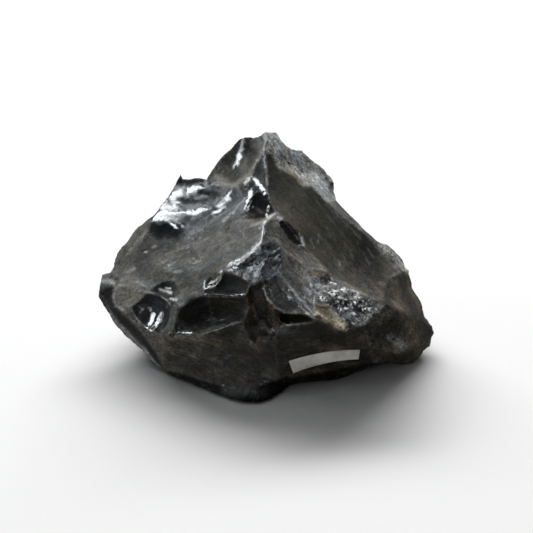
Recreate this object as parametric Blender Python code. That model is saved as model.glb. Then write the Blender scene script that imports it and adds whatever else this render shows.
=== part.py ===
# A chunk of obsidian broken by hand, with a bare strip of label paper stuck to its front.
#
# The stone is two reliefs that meet at its outline. The front relief is what someone sees who
# looks down on the stone from the front, and the back relief is what that sight line meets on
# its way out, the back and the underside. The scars left by each blow are the areas between the
# ridges, and each is hollowed like a shallow dish. All drawn values are millimetres.

import math
from collections import Counter

import bpy
import numpy as np
from mathutils import Vector, noise
from mathutils.bvhtree import BVHTree
from mathutils.geometry import delaunay_2d_cdt

# Driving dimensions, in metres.
STONE_WIDTH = 0.171
LABEL_THICKNESS = 0.0003
LABEL_GAP = 0.0003
MM = 1000

# The sight line that the front is drawn along: down at 30 degrees, to a point over the floor.
SIGHT_TILT = math.radians(30)
EYE_DISTANCE = 600.0
AIM_HEIGHT = 45.0
ON_FLOOR = 0.01

# How finely the solid is faceted.
RIDGE_STEP = 2.6
FRONT_STEP = 3.1
FINE_STEP = 2.2
BACK_STEP = 4.0
FILL_CLEARANCE = 0.62
FILL_JITTER = 0.18
DEFAULT_DISH = 0.6
SEED = 7

PLANE_HALF_WIDTH = 86
PLANE_HALF_HEIGHT = 70
ROW_PITCH = math.sin(math.pi / 3)

# Natural unevenness: ridges wander a little, and faces are lumpy by their scar's own amount.
RIDGE_WANDER = 0.35
WANDER_PITCH = 4.0
LUMP_PITCH = 7.0
SIDE_OFFSET = 40.0
DEFAULT_LUMPS = 0.25

# The outline as it is seen: (across, up, away) from the point that is aimed at. Across is to the
# right and up is in the picture plane, and away is how far behind the middle the point lies.
OUTLINE = {
    "peak_east": (5, 67, 34),
    "east_fall": (7.5, 63, 35),
    "east_step": (10, 60, 36),
    "east_brow": (14, 58.3, 38),
    "east_brow_end": (17.5, 58, 40),
    "flank_high": (20.5, 55, 40.5),
    "flank_bow": (27, 50, 40),
    "flank_turn": (32, 45, 38),
    "flank_nose": (33.7, 42.5, 35),
    "flank_under": (34, 37.5, 31),
    "flank_notch": (35, 33, 27),
    "strip_high": (40, 27.5, 24),
    "strip_mid": (47, 20.5, 19),
    "strip_low": (52, 16, 16),
    "strip_end": (57, 12, 14),
    "shoulder_top": (60.5, 11, 15),
    "shoulder_bow": (66, 6, 13),
    "shoulder_side": (69.5, 2, 11),
    "shoulder_end": (71.5, -2, 9),
    "neck_high": (72.8, -6, 6),
    "neck": (73, -10.5, 3),
    "bulge_rise": (76, -16, 1),
    "bulge_high": (79, -21, 0),
    "bulge_shoulder": (82, -25.5, -1),
    "bulge_side": (84, -29.5, -3),
    "bulge_end": (84, -34, -6),
    "bulge_low": (82, -40, -11),
    "bulge_foot": (78, -44.5, -15),
    "foot_east": (73, -48, -20.5),
    "foot_tip": (68, -49, -22),
    "foot_west": (64, -48, -22.5),
    "hem_1": (60, -48, -23.5),
    "hem_2": (56, -49.5, -26),
    "hem_3": (50, -51.5, -28.5),
    "hem_4": (42, -54.5, -32.5),
    "hem_5": (35, -57, -36),
    "hem_6": (25, -57.5, -37.5),
    "hem_7": (16, -58.5, -39),
    "hem_8": (12, -59.5, -41),
    "keel_east": (8, -62.5, -45.5),
    "keel_1": (3, -66, -51),
    "keel_2": (-3, -67.8, -54),
    "keel_3": (-10, -67.8, -54),
    "keel_4": (-18, -66.5, -51.5),
    "keel_5": (-22, -65, -49),
    "keel_west": (-28, -62.5, -45),
    "sole_1": (-35, -60, -40.5),
    "sole_2": (-40, -57.5, -37),
    "sole_3": (-46, -55.5, -33.5),
    "sole_4": (-51, -52.5, -29),
    "sole_5": (-55, -49.5, -25.5),
    "west_1": (-59, -45.5, -21),
    "west_2": (-64, -40.5, -16),
    "west_3": (-69, -36, -11),
    "west_4": (-75, -30, -5),
    "west_5": (-79, -24, -1),
    "west_6": (-82, -19, 1.5),
    "knob_low": (-84, -15.5, 3),
    "knob_side": (-84.3, -11, 4.5),
    "knob_high": (-84, -7, 6),
    "knob_top": (-82, -4, 8),
    "knob_back": (-78.5, -3, 10),
    "fin_1": (-76.5, 0, 13),
    "fin_2": (-75.5, 5, 17),
    "fin_3": (-73, 9.5, 21),
    "fin_4": (-69, 13.5, 25),
    "fin_5": (-65, 19, 29),
    "fin_6": (-60, 23, 29),
    "wing_root": (-56, 26, 27),
    "wing_1": (-51, 33, 32),
    "wing_2": (-47, 38.5, 37),
    "wing_3": (-44.5, 43.5, 41),
    "wing_tip": (-43, 46, 43),
    "wing_chip_1": (-41.8, 44, 42),
    "wing_chip_2": (-38, 43.8, 41),
    "wing_chip_3": (-36, 44.6, 41),
    "wing_chip_4": (-33, 44.4, 40),
    "wing_notch": (-30, 43.4, 38),
    "lobe_side_1": (-28, 47, 40),
    "lobe_side_2": (-23.5, 53.5, 41),
    "lobe_side_3": (-17, 60, 40),
    "lobe_brow": (-14, 63.5, 39),
    "lobe_top": (-10, 65, 38),
    "lobe_dip": (-6.5, 64.4, 37),
    "lobe_rise": (-3, 65.8, 36),
    "peak_west": (-1, 67.5, 35),
}

# Where the outline turns sharply. Between these corners it is a smooth curve.
OUTLINE_CORNERS = (
    "peak_east",
    "east_step",
    "flank_nose",
    "flank_notch",
    "strip_end",
    "shoulder_end",
    "neck",
    "foot_west",
    "keel_east",
    "sole_4",
    "west_6",
    "knob_back",
    "wing_root",
    "wing_tip",
    "wing_chip_1",
    "wing_notch",
    "lobe_brow",
    "lobe_dip",
    "peak_west",
)

# The corners of the ridges on the seen side, in the outline's terms.
FRONT_POINTS = {
    # the crest that comes down from the peak towards the front
    "crest_top": (0, 62.5, 31),
    "crest_1": (-1.5, 57, 27.5),
    "crest_2": (0, 51, 22),
    "crest_3": (0.3, 45, 17),
    "crest_4": (0.3, 38, 11),
    "crest_5": (2, 32.5, 5),
    "crest_6": (4.8, 27.5, 0),
    "crest_7": (2.5, 24.7, -3.5),
    "crest_8": (-1, 21, -8),
    "crest_9": (-2, 15.5, -12.5),
    "apex": (-2.8, 11, -16),
    # the foot of the brown lobe left of the peak
    "lobe_1": (-5, 53, 25.5),
    "lobe_2": (-6.5, 47.5, 21),
    "lobe_3": (-10, 43, 19),
    "lobe_4": (-15, 40.5, 20.5),
    "lobe_5": (-19, 40.3, 24),
    "lobe_6": (-24, 41.5, 30),
    # the dark pocket beside the crest
    "pocket_1": (-5, 37.5, 12.5),
    "pocket_2": (-9.5, 32.5, 11),
    "pocket_3": (-12, 25.5, 5.5),
    "pocket_4": (-6, 23, -1),
    "rib_1": (-14.5, 28.5, 11),
    "rib_2": (-22, 22, 9),
    "ledge_1": (-13, 17.5, -1.5),
    "ledge_2": (-6, 20.5, -5.5),
    # the ridge between the wing and the fin behind it, down to the knob
    "west_ridge_1": (-59.5, 18.5, 21.5),
    "west_ridge_2": (-63.5, 11, 15),
    "west_ridge_3": (-66.5, 5, 10),
    "west_ridge_4": (-70, -0.5, 5.5),
    "west_ridge_5": (-73.5, -6, 2),
    "knob_inner": (-75.8, -10.2, -2),
    "knob_front": (-78.5, -10.4, -1.5),
    "knob_lip": (-81, -10.2, 0.5),
    # the rim over the dark groove at the left foot
    "rim_1": (-76.8, -15, -7),
    "rim_2": (-75.5, -20, -11),
    "rim_3": (-70, -25, -17),
    "rim_4": (-65, -29.5, -22),
    "rim_5": (-60, -36, -26.5),
    "rim_6": (-56, -41, -29.5),
    "rim_7": (-52.8, -47, -30.5),
    "groove_1": (-80.8, -14.5, 3.5),
    "groove_2": (-79.2, -20, 1.5),
    "groove_3": (-75.5, -25.8, -2.5),
    "groove_4": (-70, -31.2, -8),
    "groove_5": (-65, -35.8, -13),
    "groove_6": (-59.5, -41.7, -18.5),
    "groove_7": (-54.8, -47.7, -24.5),
    # the shelf right of the knob
    "shelf_1": (-66, -8.3, -6.5),
    "shelf_2": (-61.5, -9.3, -10.5),
    "shelf_foot": (-70.5, -20, -13.5),
    # the upper bite
    "bite_a_1": (-58.3, -12, -14),
    "bite_a_2": (-55, -9.3, -12.5),
    "bite_a_3": (-50, -7.2, -12),
    "bite_a_4": (-45.5, -7.5, -13.5),
    "bite_a_5": (-44.3, -11.5, -17.5),
    "bite_a_6": (-46, -16.8, -22.5),
    # the blade between the two bites
    "blade_1": (-54.5, -14.3, -17.8),
    "blade_2": (-50, -16.7, -21.5),
    # the lower bite
    "bite_b_1": (-67.5, -20, -15.5),
    "bite_b_2": (-63.7, -17.3, -14.5),
    "bite_b_3": (-60.3, -13.4, -15),
    "bite_b_4": (-47.5, -20.5, -25.5),
    "bite_b_5": (-47.8, -25, -28),
    "bite_b_6": (-50, -30, -30),
    "bite_b_7": (-53.5, -34, -31),
    "bite_b_8": (-60, -31, -25.5),
    "bite_b_9": (-65, -26, -20),
    # the large hollow under the left face
    "hollow_1": (-43, -20.5, -27.5),
    "hollow_2": (-40, -18.8, -26.5),
    "hollow_3": (-36.5, -16.5, -25.5),
    "hollow_4": (-31.5, -14.3, -25),
    "hollow_5": (-44.8, -25, -30),
    "hollow_6": (-46.5, -30, -32.5),
    "hollow_7": (-48, -34.2, -34),
    "hollow_8": (-37, -33.4, -36.5),
    "hollow_9": (-33, -34.2, -37),
    "hollow_10": (-25, -31.7, -36.5),
    "hollow_11": (-17, -28.8, -34.5),
    "hollow_12": (-11, -26, -31.5),
    "hollow_13": (-9, -20, -28.5),
    "lens_1": (-31, -31.6, -32.5),
    "lens_2": (-24, -29.8, -32),
    # the ridge between the hollow and the scoop over it
    "bar_1": (-27, -14, -25.8),
    "bar_2": (-20, -14.6, -27.3),
    "bar_3": (-10.5, -14.5, -28),
    # the scoop under the crushed face
    "scoop_1": (-31, -8, -20.5),
    "scoop_2": (-27.5, -4.3, -18.7),
    "scoop_3": (-21.5, -1.2, -18.5),
    "scoop_4": (-18.3, -3, -20.5),
    "scoop_5": (-12, -5.5, -23.7),
    "scoop_6": (-8, -8.7, -25.8),
    "scoop_7": (-9.6, -11.8, -27),
    "scoop_8": (-22.8, -6.5, -22),
    "scoop_9": (-25.7, -9.8, -24),
    "scoop_10": (-30.8, -11.2, -23),
    # the crushed face under the apex
    "crush_1": (-18.6, 0.8, -17.7),
    "crush_2": (-12, 3.3, -17.2),
    "crush_3": (-8, 6.5, -16.7),
    "crush_4": (1, 12, -15.7),
    "crush_5": (5.5, 11, -15.7),
    "crush_6": (8.2, 8, -17),
    "crush_7": (7.6, 2, -20.7),
    "crush_8": (5, -4, -24.2),
    "crush_9": (0, -6.8, -26),
    "crush_10": (-5, -8, -26.3),
    "crush_mid": (-2.5, 2, -20),
    # the glassy tongue that hangs over the recess, and the streaked band beside it
    "tongue_1": (-1.3, -11.5, -29.5),
    "tongue_2": (0.5, -16, -33),
    "tongue_3": (4, -20, -36),
    "tongue_4": (8.5, -22.8, -38.7),
    "tongue_5": (15, -23.2, -41),
    "tongue_6": (20, -24, -43),
    "tongue_7": (23.7, -25.2, -45),
    "tongue_8": (6.3, -8.4, -27.3),
    "tongue_9": (11, -13, -31.8),
    "tongue_10": (15.8, -18.5, -37),
    "streak_1": (12.5, -9.5, -29),
    "streak_2": (19, -16, -36),
    # the dusty face right of the crushed one
    "dusty_1": (13, 4.5, -18.7),
    "dusty_2": (20, -1.5, -22.5),
    "dusty_3": (21, -5.5, -27.5),
    "dusty_4": (23.5, -12, -33.5),
    "dusty_5": (24.3, -19, -40),
    # the rusty notch
    "notch_1": (25, -2.2, -21.7),
    "notch_2": (30, -3.2, -20.7),
    "notch_3": (28.5, -5.3, -24.5),
    "notch_4": (24, -5.2, -26.5),
    # the sliver scar below the crest
    "sliver_1": (5.5, 24.2, -4),
    "sliver_2": (9, 23, -4.5),
    "sliver_3": (12.5, 20.5, -5),
    "sliver_4": (15.5, 17, -6),
    "sliver_5": (18, 13, -7.5),
    "sliver_6": (18.6, 10.5, -9),
    "sliver_7": (16, 10.2, -11),
    "sliver_8": (12, 12.8, -10.5),
    "sliver_9": (9, 16.5, -9.3),
    "sliver_10": (6.5, 20.5, -7.3),
    # the lower edge of the large right face
    "sill_1": (22, 6.8, -11.5),
    "sill_2": (28, 0.5, -16),
    "sill_3": (33, -5, -20.5),
    "sill_4": (38, -8.6, -24),
    "sill_5": (45, -12.5, -28.2),
    "sill_6": (50, -14.8, -30.5),
    "sill_7": (59, -19.3, -33),
    "sill_8": (66, -22.3, -31),
    # the crushed lip and the beige facet on it
    "lip_1": (57, -23, -36),
    "lip_2": (52, -26.3, -40),
    "lip_3": (50, -29, -42),
    "lip_4": (45, -31, -45),
    "lip_5": (40.5, -30.8, -46),
    "lip_6": (39, -32, -46.5),
    "lip_7": (35, -31.3, -46),
    "lip_8": (30, -27.5, -45.5),
    "lip_9": (26.5, -24.6, -45),
    "slit_1": (25.2, -19.6, -40.5),
    "slit_2": (28.5, -18.8, -39.5),
    "slit_3": (32, -20.2, -40),
    "beige_1": (36, -25.5, -43.5),
    "beige_2": (39.3, -28.3, -45),
    # the dark ledge under the tongue
    "ledge_3": (6.5, -29.5, -36),
    "ledge_4": (15, -29, -38),
    "ledge_5": (22.8, -27.7, -42),
    "ledge_6": (6, -25, -34.5),
    # the rusty recess in the middle of the front
    "recess_1": (-11, -31, -35),
    "recess_2": (-9, -36, -37.5),
    "recess_3": (-6, -39.5, -39.5),
    "recess_4": (-3.5, -35.3, -37.3),
    "recess_5": (1, -35.5, -37.7),
    "recess_6": (3.2, -38.7, -39),
    # the crease between the two lower faces
    "crease_1": (4, -44, -40.3),
    "crease_2": (5, -50, -42.3),
    "crease_3": (4, -55.8, -45),
    # the lower left face
    "band_1": (-53.5, -38.5, -33),
    "band_2": (-50.8, -43, -34.5),
    "band_3": (-49, -48, -34),
    "base_left_1": (0, -58.3, -48.5),
    "base_left_2": (-8, -61, -51.3),
    "base_left_3": (-18, -60.7, -49.7),
    "base_left_4": (-30, -57.5, -44),
    "base_left_5": (-42, -53.8, -37.7),
    # the lower right face, which carries the label
    "face_1": (5, -34, -37.7),
    "face_2": (16, -33.2, -39),
    "face_3": (27, -34.3, -40),
    "face_4": (34.5, -35, -41),
    "face_5": (42, -34, -41.5),
    "face_6": (48.5, -33, -39.5),
    "face_7": (51, -38, -37.5),
    "face_8": (52, -44, -35),
    "face_9": (53, -48, -32),
    "base_right_1": (45, -49.3, -36.2),
    "base_right_2": (35, -51.3, -39.3),
    "base_right_3": (25, -53.3, -41.3),
    "base_right_4": (15, -55.3, -43),
    # the bulge at the right end
    "rubble_1": (61, -27, -34),
    "rubble_2": (57, -31, -35),
    "rubble_3": (61, -36, -32.5),
    "rubble_4": (56, -43, -33),
    "bulge_1": (67, -3.2, -2),
    "bulge_2": (61, -6.3, -13),
    "bulge_3": (58.5, -12, -22.5),
    "bulge_4": (73, -25, -22.5),
    "bulge_5": (79, -29, -12.5),
    "bulge_6": (69, -36, -28),
    "bulge_7": (76, -39, -20),
    "bulge_8": (62, -44.5, -27.5),
    # the edge between the large right face and the pale strip behind it
    "edge_1": (1.2, 56.3, 27.3),
    "edge_2": (5, 50.5, 26),
    "edge_3": (10, 47.5, 24.5),
    "edge_4": (14.5, 45, 24),
    "edge_5": (18, 40.8, 22),
    "edge_6": (22, 40.5, 22),
    "edge_7": (26, 36.5, 19.5),
    "edge_8": (30.5, 32, 16.5),
    "edge_9": (36, 27, 13.3),
    "edge_10": (42, 22, 10.3),
    "edge_11": (48, 17.3, 8),
    "edge_12": (53.5, 11.8, 6.5),
    "edge_13": (56, 8, 4.7),
    "edge_14": (59.5, 4, 3.2),
    "edge_15": (63, 0.5, 1.7),
}

# The ridges of the seen side. Each is a smooth curve through its corners.
FRONT_RIDGES = (
    "peak_west crest_top",
    "peak_east crest_top",
    "crest_top crest_1 crest_2 crest_3 crest_4 crest_5 crest_6",
    "crest_6 crest_7 crest_8 crest_9 apex",
    "crest_1 lobe_1 lobe_2 lobe_3 lobe_4 lobe_5 lobe_6 wing_notch",
    "crest_4 pocket_1 pocket_2 pocket_3 pocket_4 crest_7",
    "pocket_2 rib_1 rib_2",
    "ledge_1 ledge_2 crest_8",
    "wing_root west_ridge_1 west_ridge_2 west_ridge_3 west_ridge_4 west_ridge_5 knob_inner",
    "west_ridge_5 knob_back",
    "knob_inner knob_front knob_lip knob_side",
    "knob_lip groove_1 groove_2 groove_3 groove_4 groove_5 groove_6 groove_7 sole_4",
    "knob_inner rim_1 rim_2",
    "rim_2 rim_3 rim_4 rim_5 rim_6 rim_7 sole_4",
    "knob_inner shelf_1 shelf_2 bite_a_1",
    "rim_2 shelf_foot bite_b_1",
    "bite_a_1 bite_a_2 bite_a_3 bite_a_4",
    "bite_a_4 bite_a_5 bite_a_6 blade_2",
    "bite_a_1 blade_1 blade_2",
    "bite_b_1 bite_b_2 bite_b_3 blade_1",
    "blade_2 bite_b_4 bite_b_5 bite_b_6 bite_b_7",
    "bite_b_7 bite_b_8 bite_b_9 bite_b_1",
    "bite_b_9 rim_4",
    "bite_a_6 hollow_1",
    "hollow_1 hollow_2 hollow_3 hollow_4",
    "hollow_1 hollow_5 hollow_6 hollow_7",
    "hollow_7 hollow_8 hollow_9 hollow_10 hollow_11 hollow_12",
    "hollow_12 hollow_13 bar_3",
    "hollow_8 lens_1 lens_2 hollow_11",
    "bite_b_7 hollow_7",
    "hollow_4 bar_1 bar_2 bar_3",
    "hollow_4 scoop_10 scoop_1 scoop_2 scoop_3 crush_1",
    "scoop_3 scoop_8 scoop_9 scoop_10",
    "scoop_3 scoop_4 scoop_5 scoop_6",
    "scoop_6 scoop_7 bar_3",
    "crush_1 crush_2 crush_3 apex",
    "apex crush_4 crush_5 crush_6",
    "crush_6 crush_7 crush_8 crush_9",
    "crush_9 crush_10 scoop_6",
    "apex crush_mid crush_10",
    "crush_9 tongue_1 tongue_2 tongue_3 tongue_4 tongue_5 tongue_6 tongue_7",
    "crush_8 tongue_8 tongue_9 tongue_10 tongue_5",
    "crush_8 streak_1 streak_2 dusty_5",
    "crush_6 dusty_1 dusty_2",
    "dusty_2 dusty_3 dusty_4 dusty_5 tongue_7",
    "dusty_2 notch_1 notch_2 sill_3",
    "dusty_3 notch_4 notch_3 sill_3",
    "crest_7 sliver_1",
    "crest_6 sliver_1 sliver_2 sliver_3 sliver_4 sliver_5 sliver_6",
    "sliver_6 sliver_7 sliver_8 sliver_9 sliver_10 sliver_1",
    "sliver_6 sill_1 sill_2 sill_3 sill_4 sill_5 sill_6 sill_7 sill_8",
    "sill_7 lip_1 lip_2 lip_3 lip_4 lip_5 lip_6 lip_7 lip_8 lip_9 tongue_7",
    "dusty_5 slit_1 slit_2 slit_3 beige_1 beige_2 lip_5",
    "tongue_3 ledge_6 ledge_3",
    "ledge_3 ledge_4 ledge_5 tongue_7",
    "hollow_12 recess_1 recess_2 recess_3 recess_4 recess_5 recess_6",
    "recess_6 face_1 ledge_3",
    "recess_6 crease_1 crease_2 crease_3",
    "rim_4 bite_b_8",
    "bite_b_7 band_1 band_2 band_3 sole_4",
    "crease_3 base_left_1 base_left_2 base_left_3 base_left_4 base_left_5 sole_4",
    "face_1 face_2 face_3 face_4",
    "face_4 lip_7",
    "face_4 face_5 face_6",
    "lip_3 face_6",
    "face_6 face_7 face_8 face_9 hem_2",
    "crease_3 base_right_4 base_right_3 base_right_2 base_right_1 face_9",
    "crease_3 keel_east",
    "lip_1 rubble_1 rubble_2 rubble_3 rubble_4 face_8",
    "sill_8 rubble_1",
    "shoulder_end bulge_1 bulge_2 bulge_3 sill_7",
    "sill_8 bulge_4 bulge_5 bulge_end",
    "rubble_3 bulge_6 bulge_7 bulge_low",
    "rubble_4 bulge_8 foot_west",
    "crest_1 edge_1 edge_2 edge_3 edge_4 edge_5 edge_6 edge_7 edge_8",
    "edge_8 edge_9 edge_10 edge_11 edge_12",
    "edge_12 edge_13 edge_14 edge_15 bulge_1",
    "edge_8 flank_notch",
    "edge_12 strip_end",
)

# How deep each scar is hollowed and how lumpy it is, with a point inside it.
FRONT_SCARS = {
    "brown lobe": (-18, 52, 4.5, 0.3),
    "dark pocket": (-3, 30, 2.4, 0.2),
    "left face": (-45, 5, 4.6, 0.35),
    "fin": (-68, 8, 0.8, 0.3),
    "knob": (-80, -7, -1.2, 0.3),
    "groove": (-76, -22, 1.8, 0.2),
    "foot strip": (-67, -36, -0.4, 0.3),
    "outer foot": (-69, -23, 0.3, 0.2),
    "inner foot": (-55.4, -39.2, 0.8, 0.4),
    "shelf": (-69, -14, 0.8, 0.25),
    "upper bite": (-50, -12, 2.6, 0.2),
    "lower bite": (-57, -23, 4.2, 0.3),
    "smooth lip": (-47, -23, -0.7, 0.15),
    "large hollow": (-25, -22, 7.0, 0.35),
    "lens": (-27, -31.5, 0.3, 0.1),
    "left scoop": (-26, -7, 1.6, 0.2),
    "right scoop": (-17, -10, 3.2, 0.3),
    "crushed west": (-10, -1, 0.8, 0.8),
    "crushed east": (3, 3, 0.6, 0.8),
    "tongue": (5, -16, 1.2, 0.35),
    "streaks": (14, -16, 0.6, 0.25),
    "dusty face": (13, -4, 1.0, 0.45),
    "notch": (26, -4, 3.0, 0.2),
    "sliver": (12, 17, 1.3, 0.15),
    "under crest": (5, 15, 0.9, 0.35),
    "large right face": (32, 14, 3.0, 0.35),
    "pale strip": (42.4, 23.4, 0.8, 0.25),
    "shoulder": (62.9, 4.7, -0.9, 0.4),
    "crushed lip": (42, -15, 0.6, 0.9),
    "beige facet": (31, -25, 0.8, 0.6),
    "dark ledge": (15, -26.3, 4.5, 0.2),
    "brown ledge": (20, -31, 1.0, 0.4),
    "lip foot": (42, -32.7, 1.4, 0.3),
    "recess": (-3, -22, 3.0, 0.6),
    "lower left face": (-25, -46, 2.2, 0.4),
    "lower right face": (30, -42, 0.8, 0.25),
    "left hem": (-10, -64, -0.8, 0.5),
    "right hem": (28.9, -54.6, 0.4, 0.4),
    "rubble": (54, -34, 0.8, 0.7),
    "bulge notch": (61.1, -22.9, 0.6, 0.3),
    "bulge top": (68, -14, -1.8, 0.6),
    "bulge front": (76, -33, -2.2, 0.7),
    "bulge foot": (70, -43, -1.6, 0.7),
    "bulge hem": (57.4, -46.1, -0.4, 0.4),
    "pale flank": (20, 49, 3.4, 0.3),
}

# Long soft swells and furrows that cross the scars: both ends, the height and the half width.
FRONT_SWELLS = (
    # the waves of the glassy wing
    (-51, 33, -42, 39, 0.9, 2.4),
    (-42, 39, -27, 42, 0.7, 2.0),
    (-53, 26, -40, 28, 1.1, 2.6),
    (-40, 28, -27, 31, 0.8, 2.0),
    (-26, 29, -18, 38, 0.8, 1.8),
    (-52, 17, -43, 20, -0.9, 3.0),
    (-33, 36, -25, 36.5, -0.8, 2.0),
    (-22, 21, -11, 33, 0.5, 1.5),
    (-30, 14, -12, 22, 0.5, 2.2),
    (-48, 4, -22, 12, 0.5, 3.5),
    (-62, 2, -52, 8, -0.4, 3.0),
    # the waves beside the crest
    (-11, 44, -3, 41, 0.5, 1.4),
    (-12, 37, -7, 30, 0.4, 1.2),
    (-12, 60, -16, 50, 0.7, 1.8),
    # the crushed face
    (-13, 1, -4, 7, 0.9, 1.5),
    (-8, -3, 0, 2, 0.8, 1.4),
    (-4, -5, 4, -2, 0.7, 1.2),
    (0, 5, 6, 8, 0.7, 1.2),
    # the ripples of the crushed lip
    (38, -12, 49, -16.5, 0.9, 1.3),
    (37, -16, 43, -17.5, 1.0, 1.1),
    (43, -19.5, 47, -17.5, 1.3, 1.1),
    (47, -17.5, 51.5, -19, 1.3, 1.1),
    (51.5, -19, 53, -22.5, 1.0, 1.1),
    (45, -21.5, 50, -21.5, -1.2, 1.3),
    (38, -21, 44, -25, 0.9, 1.3),
    (44, -25, 51, -25, 0.9, 1.2),
    (33, -17, 39, -22, 0.7, 1.2),
    (28, -12, 34, -16, 0.6, 1.3),
    # the slot beside the beige facet, and the one under the ledge
    (26, -20.6, 31, -21.6, -1.3, 1.1),
    (14, -34.8, 33, -36.2, -1.3, 1.3),
    # the black hollow in the recess, and the channel that leaves it
    (-8, -30, -3, -30, -1.6, 2.0),
    (-2, -13, -1, -22, -1.0, 2.2),
    (4, -38, 5, -51, -0.7, 1.6),
    # the furrows between the lower right face and the bulge
    (60, -33, 51, -38, -0.9, 1.2),
    (60, -38, 53, -44, -0.9, 1.2),
    (57, -24, 53, -30, -0.8, 1.3),
    # the low waves of the large right face and of its pale neighbour
    (10, 40, 45, 5, 0.5, 3.0),
    (24, 30, 52, 2, -0.5, 2.5),
    (18, 28, 44, -6, -0.4, 2.5),
    (18, 52, 29, 41, 0.5, 2.0),
    (29, 49, 33, 42, 0.6, 1.3),
    # the lower faces
    (-44, -38, -22, -36.5, -0.6, 1.6),
    (-40, -43, -18, -50, 0.5, 3.0),
    (-30, -50, -8, -42, -0.4, 3.5),
    (-26, -63, -6, -64.5, 0.6, 1.8),
    (-60, -21, -55, -29, 0.6, 1.6),
)

# The corners of the hidden side: (right, behind, over the floor) in millimetres.
BACK_POINTS = {
    "sole_a": (-40, -20, 0),
    "sole_b": (-29, -30, 0),
    "sole_c": (-15, -43, 0),
    "sole_d": (-4, -46, 0),
    "sole_e": (5, -36, 0),
    "sole_f": (17, -31, 0),
    "sole_g": (33, -25, 0),
    "sole_h": (47, -19, 0),
    "sole_i": (55, -7, 0),
    "sole_j": (43, 6, 0),
    "sole_k": (37, 23, 0),
    "sole_l": (13, 28, 0),
    "sole_m": (-7, 38, 0),
    "sole_n": (-25, 25, 0),
    "sole_o": (-46, 11, 0),
    "low_1": (-67, 10, 11),
    "low_2": (-52, 43, 9),
    "low_3": (-18, 58, 8),
    "low_4": (20, 57, 7),
    "low_5": (52, 40, 8),
    "low_6": (75, 10, 8),
    "mid_1": (-71, 26, 27),
    "mid_2": (-51, 51, 40),
    "mid_3": (-25, 58, 56),
    "mid_4": (4, 61, 46),
    "mid_5": (30, 56, 52),
    "mid_6": (57, 34, 35),
    "mid_7": (76, 9, 22),
    "back_1": (-36, 60, 24),
    "back_2": (-4, 65, 22),
    "back_3": (36, 57, 26),
    "back_4": (12, 55, 74),
}

BACK_RIDGES = (
    "sole_a sole_b sole_c sole_d",
    "sole_d sole_e sole_f sole_g sole_h sole_i",
    "sole_i sole_j sole_k sole_l sole_m sole_n sole_o sole_a",
    "sole_a sole_4",
    "sole_c keel_4",
    "sole_e keel_east",
    "sole_h hem_2",
    "sole_i foot_east",
    "sole_o low_1",
    "sole_n low_2",
    "sole_m low_3",
    "sole_l low_4",
    "sole_k low_5",
    "sole_j low_6 bulge_end",
    "west_4 low_1 mid_1 fin_3",
    "low_1 low_2",
    "low_2 back_1 low_3",
    "low_3 back_2 low_4",
    "low_4 back_3 low_5",
    "low_5 low_6",
    "mid_1 mid_2 wing_tip",
    "mid_2 back_1",
    "mid_2 mid_3 wing_notch",
    "mid_3 mid_4 back_2",
    "mid_3 lobe_side_3",
    "mid_4 back_4 east_brow_end",
    "back_4 mid_5 flank_nose",
    "mid_4 mid_5 back_3",
    "mid_5 mid_6 strip_end",
    "mid_6 low_5",
    "mid_6 mid_7 bulge_high",
    "mid_7 low_6",
)

BACK_SCARS = {
    "sole": (-2, -38, 0.0, 0.0),
    "west sole": (-60, -28, 0.6, 0.3),
    "west back": (-61, 4, 3.0, 0.4),
    "wing back": (-48, 30, 2.6, 0.4),
    "back left": (-35, 8, 3.4, 0.4),
    "back middle": (-8, 12, 4.2, 0.4),
    "back right": (22, 8, 3.6, 0.4),
    "back left foot": (-36.5, 34.7, 2.0, 0.4),
    "peak back": (-8, 50, 3.4, 0.4),
    "flank back": (24, 42, 2.2, 0.4),
    "east back": (45, 12, 3.2, 0.4),
    "east low": (56.9, -23.2, 1.4, 0.4),
    "bulge back": (68, -14, -1.0, 0.5),
    "bulge under": (73.6, -36.9, 0.5, 0.4),
}

# Areas where the facets are finer, and where the stone is worn round: (across, up, radius).
FINE_AREAS = ((-55, -17, 15), (-22, -10, 16), (8, -14, 20), (40, -22, 19), (8, 18, 14), (-8, 32, 13))
WORN_AREAS = (("bulge", 77, -33, 17), ("knob", -82, -9, 6), ("neck", 69, -2, 7))
WORN_PASSES = 6
WORN_PULL = 0.5
WORN_PUSH = 0.52

# The label as it is seen: the ends of its upper edge and of its lower one, and how far they bow up.
LABEL_UPPER = ((11.0, -47.2), (46.6, -41.6))
LABEL_LOWER = ((13.3, -53.2), (46.0, -46.3))
LABEL_BOW = 1.5
LABEL_COLUMNS = 22
LABEL_ROWS = 4

RIGHT = np.array((1.0, 0.0, 0.0))
UP = np.array((0.0, math.sin(SIGHT_TILT), math.cos(SIGHT_TILT)))
FORWARD = np.array((0.0, math.cos(SIGHT_TILT), -math.sin(SIGHT_TILT)))
EYE = np.array((0.0, 0.0, AIM_HEIGHT)) - EYE_DISTANCE * FORWARD


def sight_ray(across, up):
    """The direction from the eye through a point of the picture plane."""
    return across * RIGHT + up * UP + EYE_DISTANCE * FORWARD


def reach(across, up, away):
    """How many rays long the sight line is where it comes to that distance behind the middle."""
    return (away - EYE[1]) / sight_ray(across, up)[1]


def as_seen(right, behind, over):
    """The picture plane point and the distance away of a point given in the stone's own frame."""
    line = np.array((right, behind, over)) - EYE
    depth = line @ FORWARD
    return (EYE_DISTANCE * (line @ RIGHT) / depth, EYE_DISTANCE * (line @ UP) / depth, behind)


def stand(across, up, away):
    """The place in the stone's own frame of a point that is drawn as it is seen."""
    return EYE + reach(across, up, away) * sight_ray(across, up)


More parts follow.
